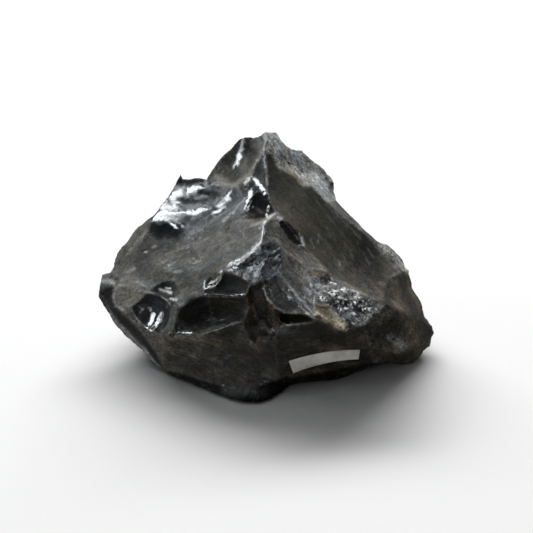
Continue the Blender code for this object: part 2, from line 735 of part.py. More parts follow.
def curve_through(points, step):
    """Points along a smooth curve, and for each whether it is one of those given."""
    ends = [2 * points[0] - points[1], *points, 2 * points[-1] - points[-2]]
    made = []
    for a, b, c, d in zip(ends, ends[1:], ends[2:], ends[3:]):
        made.append((b, True))
        count = max(1, round(np.linalg.norm(c - b) / step))
        for k in range(1, count):
            t = k / count
            bend = 0.5 * (
                2 * b + (c - a) * t + (2 * a - 5 * b + 4 * c - d) * t**2 + (3 * b - a - 3 * c + d) * t**3
            )
            # halfway to the chord, so that a curve never swings wide of its corners
            made.append((0.5 * (bend + b + (c - b) * t), False))
    made.append((points[-1], True))
    return made


class Sheet:
    """One relief: points of the picture plane with a distance, joined into triangles."""

    def __init__(self, outline, points, ridges, step, fine_areas):
        self.points = []
        self.edges = []
        self.at = {}
        self.named = {**outline, **points}
        self.lay_outline(list(outline))
        self.outline_count = len(self.points)
        for ridge in ridges:
            self.lay(ridge.split(), RIDGE_STEP)
        self.fill(step, fine_areas)
        self.join()

    def vertex(self, place):
        self.points.append(place)
        return len(self.points) - 1

    def lay(self, names, step):
        samples = curve_through([stand(*self.named[n]) for n in names], step)
        names = iter(names)
        row = []
        for spot, given in samples:
            place = np.array(as_seen(*spot))
            if not given:
                if spot[2] > ON_FLOOR:
                    place += RIDGE_WANDER * np.array(noise.noise_vector(Vector(spot) / WANDER_PITCH))
                row.append(self.vertex(place))
                continue
            name = next(names)
            if name not in self.at:
                self.at[name] = self.vertex(np.array(self.named[name], float))
            row.append(self.at[name])
        self.edges += list(zip(row, row[1:]))

    def lay_outline(self, names):
        first = names.index(OUTLINE_CORNERS[0])
        names = names[first:] + names[:first] + [names[first]]
        stretch = [names[0]]
        for name in names[1:]:
            stretch.append(name)
            if name in OUTLINE_CORNERS:
                self.lay(stretch, RIDGE_STEP)
                stretch = [name]

    def fill(self, step, fine_areas):
        """Loose points between the ridges, on a slightly disturbed triangular grid."""
        rng = np.random.default_rng(SEED)
        ridge = np.array([p[:2] for p in self.points])
        rim = ridge[: self.outline_count]
        for spacing, for_fine in ((step, False), (FINE_STEP, True)):
            for spot in grid_points(spacing, rng):
                fine = any(math.hypot(spot[0] - x, spot[1] - y) < r for x, y, r in fine_areas)
                gap = np.min(np.hypot(*(ridge - spot).T))
                if fine == for_fine and gap > FILL_CLEARANCE * spacing and inside(spot, rim):
                    self.vertex(np.array((*spot, math.nan)))

    def join(self):
        flat = [Vector((p[0], p[1])) for p in self.points]
        places, edges, faces, origins, edge_origins, _ = delaunay_2d_cdt(
            flat, self.edges, [], 1, 1e-5
        )
        self.ridge_edges = {
            frozenset(edge) for edge, origin in zip(edges, edge_origins) if origin
        }
        self.places = np.array([(p.x, p.y) for p in places])
        self.faces = [tuple(f) for f in faces]
        self.origin = [o[0] if o else None for o in origins]
        self.reach = np.full(len(places), math.nan)
        for i, origin in enumerate(self.origin):
            if origin is not None and not math.isnan(self.points[origin][2]):
                self.reach[i] = reach(*self.points[origin])

    def scars(self):
        """The triangles between ridges, gathered scar by scar."""
        sides = {}
        for f, face in enumerate(self.faces):
            for side in sides_of(face):
                sides.setdefault(side, []).append(f)
        scar = [None] * len(self.faces)
        count = 0
        for start in range(len(self.faces)):
            if scar[start] is not None:
                continue
            scar[start], todo = count, [start]
            while todo:
                open_sides = [s for s in sides_of(self.faces[todo.pop()]) if s not in self.ridge_edges]
                reached = [f for side in open_sides for f in sides[side] if scar[f] is None]
                for f in reached:
                    scar[f] = count
                todo += reached
            count += 1
        return scar, count

    def hollow_out(self, seeds, direction):
        """Sets the distance of every loose point: a film stretched between the ridges, dished."""
        self.scar, count = self.scars()
        depth = dict.fromkeys(range(count), DEFAULT_DISH)
        lumps = dict.fromkeys(range(count), DEFAULT_LUMPS)
        for across, up, dish, lumpy in seeds.values():
            number = self.scar_at(across, up)
            depth[number] = dish
            lumps[number] = lumpy
        weights = self.weights()
        for number in range(count):
            faces = [f for f, s in zip(self.faces, self.scar) if s == number]
            loose = sorted({v for f in faces for v in f if math.isnan(self.reach[v])})
            if not loose:
                continue
            for v, film, dome in zip(loose, *self.stretch(loose, weights)):
                across, up = self.places[v]
                spot = Vector((across, up, direction * SIDE_OFFSET))
                sink = direction * depth[number] * dome + lumps[number] * noise.noise(spot / LUMP_PITCH)
                self.reach[v] = film + sink / np.linalg.norm(sight_ray(across, up))

    def stretch(self, loose, weights):
        """The reach of a film over one scar's loose points, and a dome from 0 at its rim to 1."""
        row = {v: i for i, v in enumerate(loose)}
        matrix = np.eye(len(loose))
        edge = np.zeros(len(loose))
        push = np.zeros(len(loose))
        for v in loose:
            for other, weight in weights[v].items():
                if other in row:
                    matrix[row[v], row[other]] -= weight
                else:
                    edge[row[v]] += weight / self.reach[other]
                push[row[v]] += weight * np.sum((self.places[other] - self.places[v]) ** 2)
        dome = np.linalg.solve(matrix, push)
        return 1 / np.linalg.solve(matrix, edge), dome / dome.max()

    def swell(self, swells):
        """Raises long soft waves towards the viewer, or sinks them, away from the outline."""
        for v, spot in enumerate(self.places):
            if self.origin[v] is not None and self.origin[v] < self.outline_count:
                continue
            rise = 0
            for x0, y0, x1, y1, height, width in swells:
                start, along = np.array((x0, y0)), np.array((x1 - x0, y1 - y0))
                share = np.clip((spot - start) @ along / (along @ along), 0, 1)
                rise += height * math.exp(-(np.linalg.norm(spot - start - share * along) / width) ** 2)
            self.reach[v] -= rise / np.linalg.norm(sight_ray(*spot))

    def scar_at(self, across, up):
        spot = np.array((across, up))
        for face, scar in zip(self.faces, self.scar):
            a, b, c = (self.places[v] - spot for v in face)
            turns = [float(np.cross(p, q)) for p, q in ((a, b), (b, c), (c, a))]
            if min(turns) >= 0 or max(turns) <= 0:
                return scar
        raise ValueError(f"no scar at {across}, {up}")

    def weights(self):
        """Mean value weights, which leave a flat face flat."""
        found = [Counter() for _ in self.places]
        for face in self.faces:
            for k in range(3):
                v, a, b = face[k], face[(k + 1) % 3], face[(k + 2) % 3]
                to_a, to_b = self.places[a] - self.places[v], self.places[b] - self.places[v]
                long_a, long_b = np.linalg.norm(to_a), np.linalg.norm(to_b)
                corner = math.acos(max(-1.0, min(1.0, float(to_a @ to_b) / (long_a * long_b))))
                found[v][a] += math.tan(corner / 2) / long_a
                found[v][b] += math.tan(corner / 2) / long_b
        return [{o: w / sum(row.values()) for o, w in row.items()} for row in found]

    def solid_points(self):
        return [EYE + r * sight_ray(*p) for p, r in zip(self.places, self.reach)]


def sides_of(face):
    return [frozenset(pair) for pair in zip(face, face[1:] + face[:1])]


def grid_points(spacing, rng):
    """A triangular grid over the whole picture plane, each point a little out of its place."""
    for row, up in enumerate(np.arange(-PLANE_HALF_HEIGHT, PLANE_HALF_HEIGHT, spacing * ROW_PITCH)):
        for across in np.arange(-PLANE_HALF_WIDTH + (row % 2) * spacing / 2, PLANE_HALF_WIDTH, spacing):
            yield np.array((across, up)) + rng.uniform(-1, 1, 2) * FILL_JITTER * spacing


def inside(spot, rim):
    """Whether a point of the picture plane is within the outline."""
    x, y = spot
    a, b = rim, np.roll(rim, -1, axis=0)
    crosses = (a[:, 1] > y) != (b[:, 1] > y)
    at = a[crosses, 0] + (y - a[crosses, 1]) * (b - a)[crosses, 0] / (b - a)[crosses, 1]
    return bool(np.sum(at > x) % 2)


def wear_round(points, faces, seen):
    """Rounds the worn ends: each point there is drawn to its neighbours, then pushed back out."""
    near = [set() for _ in points]
    for face in faces:
        for a, b in zip(face, face[1:] + face[:1]):
            near[a].add(b)
            near[b].add(a)
    pull = np.zeros(len(points))
    for _, across, up, radius in WORN_AREAS:
        gap = np.hypot(seen[:, 0] - across, seen[:, 1] - up)
        pull = np.maximum(pull, np.clip(2 * (1 - gap / radius), 0, 1))
    pull[points[:, 2] < ON_FLOOR] = 0
    for strength in (WORN_PULL, -WORN_PUSH) * WORN_PASSES:
        middle = np.array([points[list(n)].mean(axis=0) for n in near])
        points = points + strength * pull[:, None] * (middle - points)
    return points


def stone_shape():
    """The points and faces of the whole stone, in millimetres."""
    front = Sheet(OUTLINE, FRONT_POINTS, FRONT_RIDGES, FRONT_STEP, FINE_AREAS)
    front.hollow_out(FRONT_SCARS, 1)
    front.swell(FRONT_SWELLS)
    back_points = {name: as_seen(*place) for name, place in BACK_POINTS.items()}
    back = Sheet(OUTLINE, back_points, BACK_RIDGES, BACK_STEP, ())
    back.hollow_out(BACK_SCARS, -1)
    points = front.solid_points()
    seen = list(front.places)
    rim = {o: i for i, o in enumerate(front.origin) if o is not None and o < front.outline_count}
    number = {}
    for i, (origin, place) in enumerate(zip(back.origin, back.solid_points())):
        if origin is not None and origin < back.outline_count:
            number[i] = rim[origin]
        else:
            number[i] = len(points)
            points.append(place)
            seen.append(back.places[i])
    faces = front.faces + [tuple(number[v] for v in reversed(f)) for f in back.faces]
    return wear_round(np.array(points), faces, np.array(seen)), faces


def label_spot(along, down):
    """The picture plane point of a place on the label, from its left end and from its upper edge."""
    upper, lower = (
        np.array(ends[0]) * (1 - along) + np.array(ends[1]) * along for ends in (LABEL_UPPER, LABEL_LOWER)
    )
    across, up = upper * (1 - down) + lower * down
    return across, up + LABEL_BOW * 4 * along * (1 - along)


def label_shape(stone):
    """A strip of paper laid on the lower right face, a hair off the stone."""
    rows = []
    for k in range(LABEL_ROWS + 1):
        spots = [label_spot(i / LABEL_COLUMNS, k / LABEL_ROWS) for i in range(LABEL_COLUMNS + 1)]
        rows.append([stone.ray_cast(Vector(EYE), Vector(sight_ray(*spot)).normalized()) for spot in spots])
    outward = sum((hit[1] for row in rows for hit in row), Vector()).normalized()
    under = [[hit[0] + outward * LABEL_GAP * MM for hit in row] for row in rows]
    over = [[p + outward * LABEL_THICKNESS * MM for p in row] for row in under]
    return under, over


def strip_mesh(under, over):
    """Closes two grids of points into one thin solid."""
    rows, columns = len(under), len(under[0])
    points = [p for grid in (over, under) for row in grid for p in row]
    half = rows * columns

    def at(side, row, column):
        return side * half + row * columns + column

    faces = []
    for r in range(rows - 1):
        for c in range(columns - 1):
            square = [(r, c), (r + 1, c), (r + 1, c + 1), (r, c + 1)]
            faces.append([at(0, *q) for q in square])
            faces.append([at(1, *q) for q in reversed(square)])
    border = [(0, c) for c in range(columns)] + [(r, columns - 1) for r in range(1, rows)]
    border += [(rows - 1, c) for c in range(columns - 2, -1, -1)] + [(r, 0) for r in range(rows - 2, 0, -1)]
    for here, there in zip(border, border[1:] + border[:1]):
        faces.append([at(0, *here), at(0, *there), at(1, *there), at(1, *here)])
    return points, faces


def material(name, colour, roughness):
    made = bpy.data.materials.new(name)
    made.use_nodes = True
    shader = made.node_tree.nodes["Principled BSDF"]
    shader.inputs["Base Color"].default_value = (*colour, 1)
    shader.inputs["Roughness"].default_value = roughness
    shader.inputs["Metallic"].default_value = 0.0
    return made


def place(name, points, faces, finish, scale, origin):
    mesh = bpy.data.meshes.new(name)
    mesh.from_pydata([tuple((Vector(p) - origin) * scale) for p in points], [], faces)
    mesh.materials.append(finish)
    mesh.validate()
    made = bpy.data.objects.new(name, mesh)
    bpy.context.scene.collection.objects.link(made)
    return made


def main():
    for old in list(bpy.data.objects):
        bpy.data.objects.remove(old)
    points, faces = stone_shape()
    low, high = points.min(axis=0), points.max(axis=0)
    origin = Vector(((low[0] + high[0]) / 2, (low[1] + high[1]) / 2, low[2]))
    scale = STONE_WIDTH / (high[0] - low[0])
    stone = BVHTree.FromPolygons([Vector(p) for p in points], faces)
    place("obsidian_chunk", points, faces, material("obsidian", (0.012, 0.012, 0.014), 0.12), scale, origin)
    strip = strip_mesh(*label_shape(stone))
    place("paper_label", *strip, material("label_paper", (0.72, 0.7, 0.66), 0.8), scale, origin)


main()
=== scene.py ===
import math

import bmesh
import bpy
import numpy as np
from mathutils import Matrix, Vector, noise
from mathutils.bvhtree import BVHTree
from mathutils.kdtree import KDTree


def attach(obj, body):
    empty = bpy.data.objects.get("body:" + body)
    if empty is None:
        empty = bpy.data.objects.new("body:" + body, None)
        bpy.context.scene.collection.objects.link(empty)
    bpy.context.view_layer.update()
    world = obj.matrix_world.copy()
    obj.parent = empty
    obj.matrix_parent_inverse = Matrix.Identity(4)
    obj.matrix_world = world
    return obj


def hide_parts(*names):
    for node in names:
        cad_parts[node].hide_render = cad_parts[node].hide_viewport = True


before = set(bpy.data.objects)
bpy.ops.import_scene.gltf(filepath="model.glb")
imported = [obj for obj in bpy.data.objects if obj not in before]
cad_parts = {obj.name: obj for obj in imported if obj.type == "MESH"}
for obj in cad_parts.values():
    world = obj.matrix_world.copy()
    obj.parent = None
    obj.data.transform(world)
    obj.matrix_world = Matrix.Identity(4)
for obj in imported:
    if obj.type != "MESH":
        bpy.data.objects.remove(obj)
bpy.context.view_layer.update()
mm = 0.001

# The camera of the photo. The picture plane is measured in millimetres from the middle of the photo,
# and everything that is painted on the stone's front is placed on it as (across, up).
photoView = {
    "tilt": math.radians(30),
    "aim": Vector((0.0, -0.00538, 0.04486)),
    "distance": 0.59818,
    "planeDistance": 600.0,
    "sensor": 36.0,
    "frameWidth": 266.5,
    "clipStart": 0.01,
}

rightWay = np.array((1.0, 0.0, 0.0))
upWay = np.array((0.0, math.sin(photoView["tilt"]), math.cos(photoView["tilt"])))
sightWay = np.array((0.0, math.cos(photoView["tilt"]), -math.sin(photoView["tilt"])))
eye = np.array(photoView["aim"]) - photoView["distance"] * sightWay


def onPicture(points):
    lines = points - eye
    depth = lines @ sightWay
    plane = photoView["planeDistance"]
    return np.column_stack((plane * (lines @ rightWay) / depth, plane * (lines @ upWay) / depth))


def addCamera():
    camera = bpy.data.objects.new("photoCamera", bpy.data.cameras.new("photoCamera"))
    bpy.context.scene.collection.objects.link(camera)
    camera.location = Vector(eye)
    camera.rotation_euler = Vector(sightWay).to_track_quat("-Z", "Y").to_euler()
    camera.data.sensor_width = photoView["sensor"]
    camera.data.lens = photoView["sensor"] * photoView["planeDistance"] / photoView["frameWidth"]
    camera.data.clip_start = photoView["clipStart"]
    bpy.context.scene.camera = camera
    print("camera: lens", round(camera.data.lens, 1), "mm")


# The stone's surface. Heights and sizes are in mm.
stoneShape = {
    "weld": 0.000001,                # metres
    "softAngle": math.radians(9),    # facets that meet flatter than this are one smooth scar
    "sharpAngle": math.radians(27),  # and from here on the ridge between them stays crisp
    "sharpest": 0.94,
    "levels": 2,
    "waveHeight": 0.22,              # long glassy waves
    "waveLength": 15,
    "waveStretch": (1.0, 2.2, 1.6),
    "rippleHeight": 0.02,            # fine rings of the fracture
    "rippleStep": 0.7,
    "rippleBend": 5,
    "rippleCentre": (-0.01, 0.03, 0.1),  # metres
    "ripplePatch": 20,
    "grainHeight": 0.035,
    "grainSize": 1.6,
    "leastGrain": 0.3,
    "splinterPitch": 3.4,            # the little facets of the crushed places
    "coarser": 2.2,                  # how much larger their second set is
    "splinterTilt": 0.28,
    "splinterStep": 0.22,
    "nibble": 0.35,                  # how far ridges are chipped back
    "chipSize": 2.2,
    "chipGain": 6,
    "resting": 0.4,                  # what is lower than this stays flat on the floor
}

# The scars of the front. film is how much of the glass the dusty skin hides and tone is that skin's colour,
# dull is how rough it is, wave and crush scale the glassy waves and the splinters, flow is the way that
# streaks run across the picture in degrees, and soft is how many mm the edge takes to fade.
plainScar = {"film": 0.5, "dull": 0.35, "wave": 0.4, "crush": 0, "speck": 0.15,
             "flow": 0, "streak": 0.25, "cloud": 0.15, "soft": 1.2}
skinParts = ("film", "dull", "wave", "crush", "speck", "streak")
darkSkin = (0.024, 0.021, 0.017)

scarFinish = {
    "left face": {
        "outline": [
            (-57, 25), (-60, 18), (-64, 11), (-70, 0), (-76, -9), (-62, -9), (-58, -12), (-50, -7),
            (-45, -8), (-46, -17), (-42, -20), (-36, -16), (-31, -14), (-31, -8), (-27, -4), (-20, -1),
            (-8, 7), (-2, 11), (-1, 21), (-12, 27), (-24, 42), (-35, 44), (-46, 44),
        ],
        "film": 0.8, "tone": (0.16, 0.162, 0.156), "dull": 0.8, "wave": 0.5, "flow": 30, "streak": 0.3,
        "speck": 0.35, "cloud": 0.4, "soft": 1.2,
    },
    "wing": {
        "outline": [
            (-57, 26), (-58, 21), (-52, 13), (-44, 12), (-36, 18), (-27, 21), (-19, 24), (-13, 30),
            (-9, 38), (-9, 45), (-16, 41), (-22, 42), (-30, 43), (-43, 46),
        ],
        "film": 0.66, "tone": (0.052, 0.061, 0.07), "dull": 0.5, "wave": 0.7, "flow": 25, "streak": 0.25,
        "cloud": 0.6, "soft": 5,
    },
    "brown lobe": {
        "outline": [
            (-30, 43), (-28, 47), (-23, 54), (-17, 60), (-14, 64), (-10, 65), (-3, 66), (0, 62), (-2, 57),
            (-5, 52), (-8, 46), (-15, 40), (-22, 42),
        ],
        "film": 0.8, "tone": (0.043, 0.04, 0.031), "dull": 0.8, "wave": 0.6, "flow": 62, "streak": 0.35,
        "speck": 0.2,
    },
    "lobe shade": {
        "outline": [
            (-12, 65), (-3, 66), (-1, 60), (-4, 54), (-9, 46), (-13, 48), (-12, 56),
        ],
        "film": 0.75, "tone": (0.046, 0.041, 0.034), "dull": 0.65, "wave": 0.6, "flow": 65, "soft": 4,
    },
    "crest strip": {
        "outline": [
            (-1.5, 57), (-5, 53), (-8, 46), (-13, 41), (-12, 33), (-5, 37.5), (0.3, 38), (0.3, 45),
            (0, 51),
        ],
        "film": 0.8, "tone": (0.056, 0.058, 0.06), "dull": 0.8, "wave": 0.9, "flow": 70, "streak": 0.4,
    },
    "dark pocket": {
        "outline": [
            (0.3, 38), (-5, 37.5), (-9.5, 32.5), (-12, 25.5), (-6, 23), (2, 25), (4.8, 27.5), (2, 32.5),
        ],
        "film": 1, "tone": (0.0085, 0.0075, 0.0068), "dull": 1, "wave": 0.9, "flow": 60, "cloud": 0.8,
        "soft": 2,
    },
    "fin": {
        "outline": [
            (-56, 26), (-60, 23), (-66, 18), (-73, 10), (-76, 3), (-78, -3), (-73.5, -6), (-70, -0.5),
            (-66.5, 5), (-63.5, 11), (-59.5, 18.5),
        ],
        "film": 0.85, "tone": (0.07, 0.067, 0.055), "dull": 0.8, "wave": 0.3, "flow": 60, "speck": 0.3,
    },
    "knob": {
        "outline": [
            (-78, -3), (-82, -4), (-85, -9), (-84, -16), (-81, -10.5), (-75, -10.5), (-73.5, -6),
        ],
        "film": 0.6, "tone": (0.026, 0.026, 0.026), "dull": 0.85, "wave": 0.6, "crush": 0.15, "flow": 0,
    },
    "outer foot": {
        "outline": [
            (-84, -14), (-81, -14.5), (-79, -20), (-75.5, -26), (-70, -31), (-59.5, -42), (-51, -52.5),
            (-60, -45), (-75, -30), (-83, -18),
        ],
        "film": 0.75, "tone": (0.075, 0.07, 0.058), "dull": 0.6, "wave": 0.3, "flow": -50,
    },
    # near black: painted shade of the undercut beneath the knob and rim
    "groove": {
        "outline": [
            (-81, -10.3), (-75.8, -10.2), (-76.8, -15), (-75.5, -20), (-70, -25.5), (-65, -30.5),
            (-60, -36.5), (-56, -42), (-52, -50), (-55, -47.5), (-60, -41), (-65, -35.5), (-70, -31),
            (-75.5, -25.5), (-79, -20), (-81, -14.5),
        ],
        "film": 1, "tone": (0.013, 0.012, 0.011), "dull": 1, "wave": 0.4, "flow": -50, "soft": 0.9,
    },
    "shelf": {
        "outline": [
            (-76, -10), (-66, -8.3), (-61.5, -9.3), (-58.3, -12), (-60.3, -13.4), (-64, -17.3),
            (-67.5, -20), (-75.5, -20), (-77, -15),
        ],
        "film": 0.8, "tone": (0.27, 0.262, 0.235), "dull": 0.9, "wave": 0.4, "crush": 0.08, "flow": 20,
        "streak": 0.3, "speck": 0.6,
    },
    "inner foot": {
        "outline": [
            (-75, -20.5), (-67.5, -20), (-65, -26), (-60, -31), (-53.5, -34), (-53, -39), (-50.5, -43),
            (-49, -48), (-51, -52), (-53, -47), (-56, -41), (-60, -36), (-65, -29.5), (-70, -25),
        ],
        "film": 0.66, "tone": (0.085, 0.076, 0.055), "dull": 0.85, "wave": 0.3, "crush": 0.25, "flow": -50,
        "speck": 0.6,
    },
    "upper bite": {
        "outline": [
            (-58.3, -12), (-55, -9.3), (-50, -7.2), (-45.5, -7.5), (-44.3, -11.5), (-46, -16.8),
            (-50, -16.7), (-54.5, -14.3),
        ],
        "film": 0.85, "tone": (0.024, 0.024, 0.025), "dull": 0.9, "wave": 0.8, "flow": 20,
    },
    "lower bite": {
        "outline": [
            (-67.5, -20), (-63.7, -17.3), (-60.3, -13.4), (-54.5, -14.3), (-50, -16.7), (-47.5, -20.5),
            (-47.8, -25), (-50, -30), (-53.5, -34), (-60, -31), (-65, -26),
        ],
        "film": 0.85, "tone": (0.01, 0.01, 0.011), "dull": 0.92, "wave": 0.8, "flow": 60,
    },
    "smooth lip": {
        "outline": [
            (-46, -16.8), (-43, -20.5), (-44.8, -25), (-46.5, -30), (-48, -34.2), (-53.5, -34), (-50, -30),
            (-47.8, -25), (-47.5, -20.5), (-50, -16.7),
        ],
        "film": 0.8, "tone": (0.095, 0.094, 0.088), "dull": 0.92, "wave": 0.4, "flow": 75,
    },
    "large hollow": {
        "outline": [
            (-43, -20.5), (-40, -18.8), (-36.5, -16.5), (-31.5, -14.3), (-20, -14.6), (-10.5, -14.5),
            (-9, -20), (-11, -26), (-17, -28.8), (-25, -30), (-31, -31.6), (-37, -33.4), (-48, -34.2),
            (-46.5, -30), (-44.8, -25),
        ],
        "film": 0.9, "tone": (0.024, 0.0225, 0.021), "dull": 0.95, "wave": 0.5, "flow": 6, "streak": 0.4,
        "cloud": 0.2,
    },
    "lens": {
        "outline": [
            (-37, -33.4), (-31, -31.6), (-24, -29.8), (-17, -28.8), (-25, -31.7), (-33, -34.2),
        ],
        "film": 0.66, "tone": (0.07, 0.066, 0.056), "dull": 0.6, "wave": 0.4, "flow": 8,
    },
    "left scoop": {
        "outline": [
            (-31, -8), (-27.5, -4.3), (-21.5, -1.2), (-22.8, -6.5), (-25.7, -9.8), (-30.8, -11.2),
        ],
        "film": 0.2, "tone": (0.06, 0.06, 0.055), "dull": 0.4, "wave": 0.8, "flow": 45,
    },
    "scoop wall": {
        "outline": [
            (-22.8, -6.5), (-25.7, -9.8), (-30.8, -11.2), (-31.5, -14.3), (-20, -14.6), (-10.5, -14.5),
            (-9.6, -11.8), (-8, -8.7), (-12, -5.5), (-18.3, -3), (-21.5, -1.2),
        ],
        "film": 0.85, "tone": (0.011, 0.0105, 0.01), "dull": 0.85, "wave": 0.7, "flow": 10, "streak": 0.3,
    },
    "crushed face": {
        "outline": [
            (-18.6, 0.8), (-12, 3.3), (-8, 6.5), (-2.8, 11), (1, 12), (5.5, 11), (8.2, 8), (7.6, 2),
            (5, -4), (0, -6.8), (-8, -8.7), (-12, -5.5), (-18.3, -3),
        ],
        "film": 0.55, "tone": (0.026, 0.034, 0.062), "dull": 0.5, "wave": 0.4, "crush": 0.55, "flow": 60,
        "speck": 1, "cloud": 0.6, "soft": 1.2,
    },
    "tongue": {
        "outline": [
            (5, -4), (0, -6.8), (-1.3, -11.5), (0.5, -16), (4, -20), (8.5, -22.8), (15, -23.2),
            (15.8, -18.5), (11, -13), (6.3, -8.4),
        ],
        "film": 0.85, "tone": (0.058, 0.057, 0.058), "dull": 0.9, "wave": 0.6, "crush": 0.12, "flow": -50,
        "streak": 0.55, "speck": 1, "cloud": 0.7, "soft": 0.8,
    },
    "streaks": {
        "outline": [
            (5, -4), (6.3, -8.4), (11, -13), (15.8, -18.5), (15, -23.2), (20, -24), (24.3, -25),
            (24.3, -19), (19, -16), (12.5, -9.5),
        ],
        "film": 0.8, "tone": (0.12, 0.127, 0.136), "dull": 0.88, "wave": 0.5, "crush": 0.1, "flow": -50,
        "streak": 0.6, "speck": 0.4, "soft": 1.2,
    },
    "dusty face": {
        "outline": [
            (8.2, 8), (13, 4.5), (20, -1.5), (21, -5.5), (23.5, -12), (24.3, -19), (19, -16), (12.5, -9.5),
            (5, -4), (7.6, 2),
        ],
        "film": 0.78, "tone": (0.2, 0.198, 0.188), "dull": 0.75, "wave": 0.5, "crush": 0.3, "flow": -50,
        "streak": 0.55, "speck": 0.8, "cloud": 0.3, "soft": 1.2,
    },
    "under crest": {
        "outline": [
            (-2.8, 11), (-2, 15.5), (-1, 21), (2.5, 24.7), (5.5, 24.2), (6.5, 20.5), (9, 16.5), (12, 12.8),
            (16, 10.2), (18.6, 10.5), (22, 6.8), (28, 0.5), (33, -5), (30, -3.2), (20, -1.5), (13, 4.5),
            (8.2, 8), (5.5, 11), (1, 12),
        ],
        "film": 0.76, "tone": (0.215, 0.21, 0.19), "dull": 0.75, "wave": 0.5, "crush": 0.15, "flow": -45,
        "streak": 0.55, "speck": 0.7, "soft": 1,
    },
    "sliver": {
        "outline": [
            (5.5, 24.2), (9, 23), (12.5, 20.5), (15.5, 17), (18, 13), (18.6, 10.5), (16, 10.2), (12, 12.8),
            (9, 16.5), (6.5, 20.5),
        ],
        "film": 0.15, "tone": darkSkin, "dull": 0.4, "wave": 0.7, "flow": -50,
    },
    "notch": {
        "outline": [
            (20, -1.5), (25, -2.2), (30, -3.2), (33, -5), (28.5, -5.3), (24, -5.2), (21, -5.5),
        ],
        "film": 0.4, "tone": (0.045, 0.028, 0.015), "dull": 0.8, "wave": 0.3, "crush": 0.25, "flow": -10,
    },
    "large right face": {
        "outline": [
            (-1.5, 57), (1.2, 56.3), (5, 50.5), (10, 47.5), (14.5, 45), (18, 40.8), (22, 40.5), (26, 36.5),
            (30.5, 32), (36, 27), (42, 22), (48, 17.3), (53.5, 11.8), (56, 8), (59.5, 4), (63, 0.5),
            (67, -3.2), (61, -6.3), (58.5, -12), (59, -19.3), (50, -14.8), (38, -8.6), (33, -5), (28, 0.5),
            (22, 6.8), (18.6, 10.5), (18, 13), (15.5, 17), (9, 23), (4.8, 27.5), (2, 32.5), (0.3, 38),
            (0.3, 45), (0, 51),
        ],
        "film": 0.86, "tone": (0.043, 0.04, 0.0245), "dull": 0.75, "wave": 0.4, "flow": -48,
        "streak": 0.55, "speck": 0.5, "cloud": 0.4,
    },
    # pale grey dust whose bright tone is in part painted sheen
    "pale flank": {
        "outline": [
            (-1.5, 57), (1.2, 56.3), (5, 50.5), (10, 47.5), (14.5, 45), (18, 40.8), (22, 40.5), (26, 36.5),
            (30.5, 32), (35, 33), (34, 38), (34, 43), (32, 45), (27, 50), (20.5, 55), (17.5, 58), (10, 60),
            (5, 67), (-1, 67.5), (0, 62.5),
        ],
        "film": 0.74, "tone": (0.8, 0.84, 0.86), "dull": 0.7, "wave": 0.6, "crush": 0.05, "flow": -52,
        "streak": 0.5, "speck": 0.4, "cloud": 0.3, "soft": 1.5,
    },
    "pale strip": {
        "outline": [
            (30.5, 32), (35, 33), (40, 27.5), (47, 20.5), (52, 16), (57, 12), (53.5, 11.8), (48, 17.3),
            (42, 22), (36, 27),
        ],
        "film": 0.66, "tone": (0.11, 0.113, 0.111), "dull": 0.6, "wave": 0.5, "flow": -43, "streak": 0.4,
    },
    "shoulder": {
        "outline": [
            (53.5, 11.8), (57, 12), (60.5, 11), (66, 6), (69.5, 2), (71.5, -2), (67, -3.2), (63, 0.5),
            (59.5, 4), (56, 8),
        ],
        "film": 0.78, "tone": (0.14, 0.145, 0.14), "dull": 0.7, "wave": 0.3, "crush": 0.25, "flow": -45,
        "streak": 0.4, "speck": 0.8, "soft": 1.5,
    },
    "crushed lip": {
        "outline": [
            (21, -5.5), (24, -5.2), (33, -5), (38, -8.6), (45, -12.5), (50, -14.8), (59, -19.3), (57, -23),
            (52, -26.3), (50, -29), (45, -31), (40.5, -30.8), (39.3, -28.3), (36, -25.5), (32, -20.2),
            (28.5, -18.8), (24.3, -19), (23.5, -12),
        ],
        "film": 0.55, "tone": (0.27, 0.28, 0.295), "dull": 0.35, "wave": 0.6, "crush": 0.45, "flow": -35,
        "streak": 0.4, "speck": 0.9, "cloud": 0.6, "soft": 1,
    },
    "beige facet": {
        "outline": [
            (24.3, -19), (28.5, -18.8), (32, -20.2), (36, -25.5), (39.3, -28.3), (40.5, -30.8), (39, -32),
            (35, -31.3), (30, -27.5), (26.5, -24.6), (23.7, -25.2),
        ],
        "film": 0.8, "tone": (0.95, 0.86, 0.66), "dull": 0.85, "wave": 0.2, "crush": 0.1, "flow": -50,
        "speck": 0.8, "cloud": 0.35, "soft": 2,
    },
    # near black: painted shadow under the overhanging lip and tongue
    "dark ledge": {
        "outline": [
            (4, -20), (8.5, -22.8), (15, -23.2), (23.7, -25.2), (22.8, -27.7), (15, -29), (6.5, -29.5),
            (6, -25),
        ],
        "film": 1, "tone": (0.004, 0.0035, 0.003), "dull": 1, "wave": 0.4, "crush": 0.1, "flow": -8,
    },
    "brown ledge": {
        "outline": [
            (6.5, -29.5), (15, -29), (22.8, -27.7), (23.7, -25.2), (26.5, -24.6), (30, -27.5), (35, -31.3),
            (34.5, -35), (27, -34.3), (16, -33.2), (5, -34),
        ],
        "film": 0.55, "tone": (0.026, 0.023, 0.018), "dull": 0.6, "wave": 0.4, "crush": 0.1, "flow": -4,
    },
    "lip foot": {
        "outline": [
            (34.5, -35), (35, -31.3), (39, -32), (45, -31), (50, -29), (48.5, -33), (42, -34),
        ],
        "film": 0.3, "tone": darkSkin, "dull": 0.6, "wave": 0.2, "crush": 0.1, "flow": -4,
    },
    # the stone's dark brown, with painted shade in the hollow under the overhang
    "recess": {
        "outline": [
            (-8, -8.7), (-5, -8), (0, -6.8), (-1.3, -11.5), (0.5, -16), (4, -20), (6, -25), (6.5, -29.5),
            (5, -34), (3.2, -38.7), (1, -35.5), (-3.5, -35.3), (-6, -39.5), (-9, -36), (-11, -31),
            (-11, -26), (-9, -20), (-10.5, -14.5),
        ],
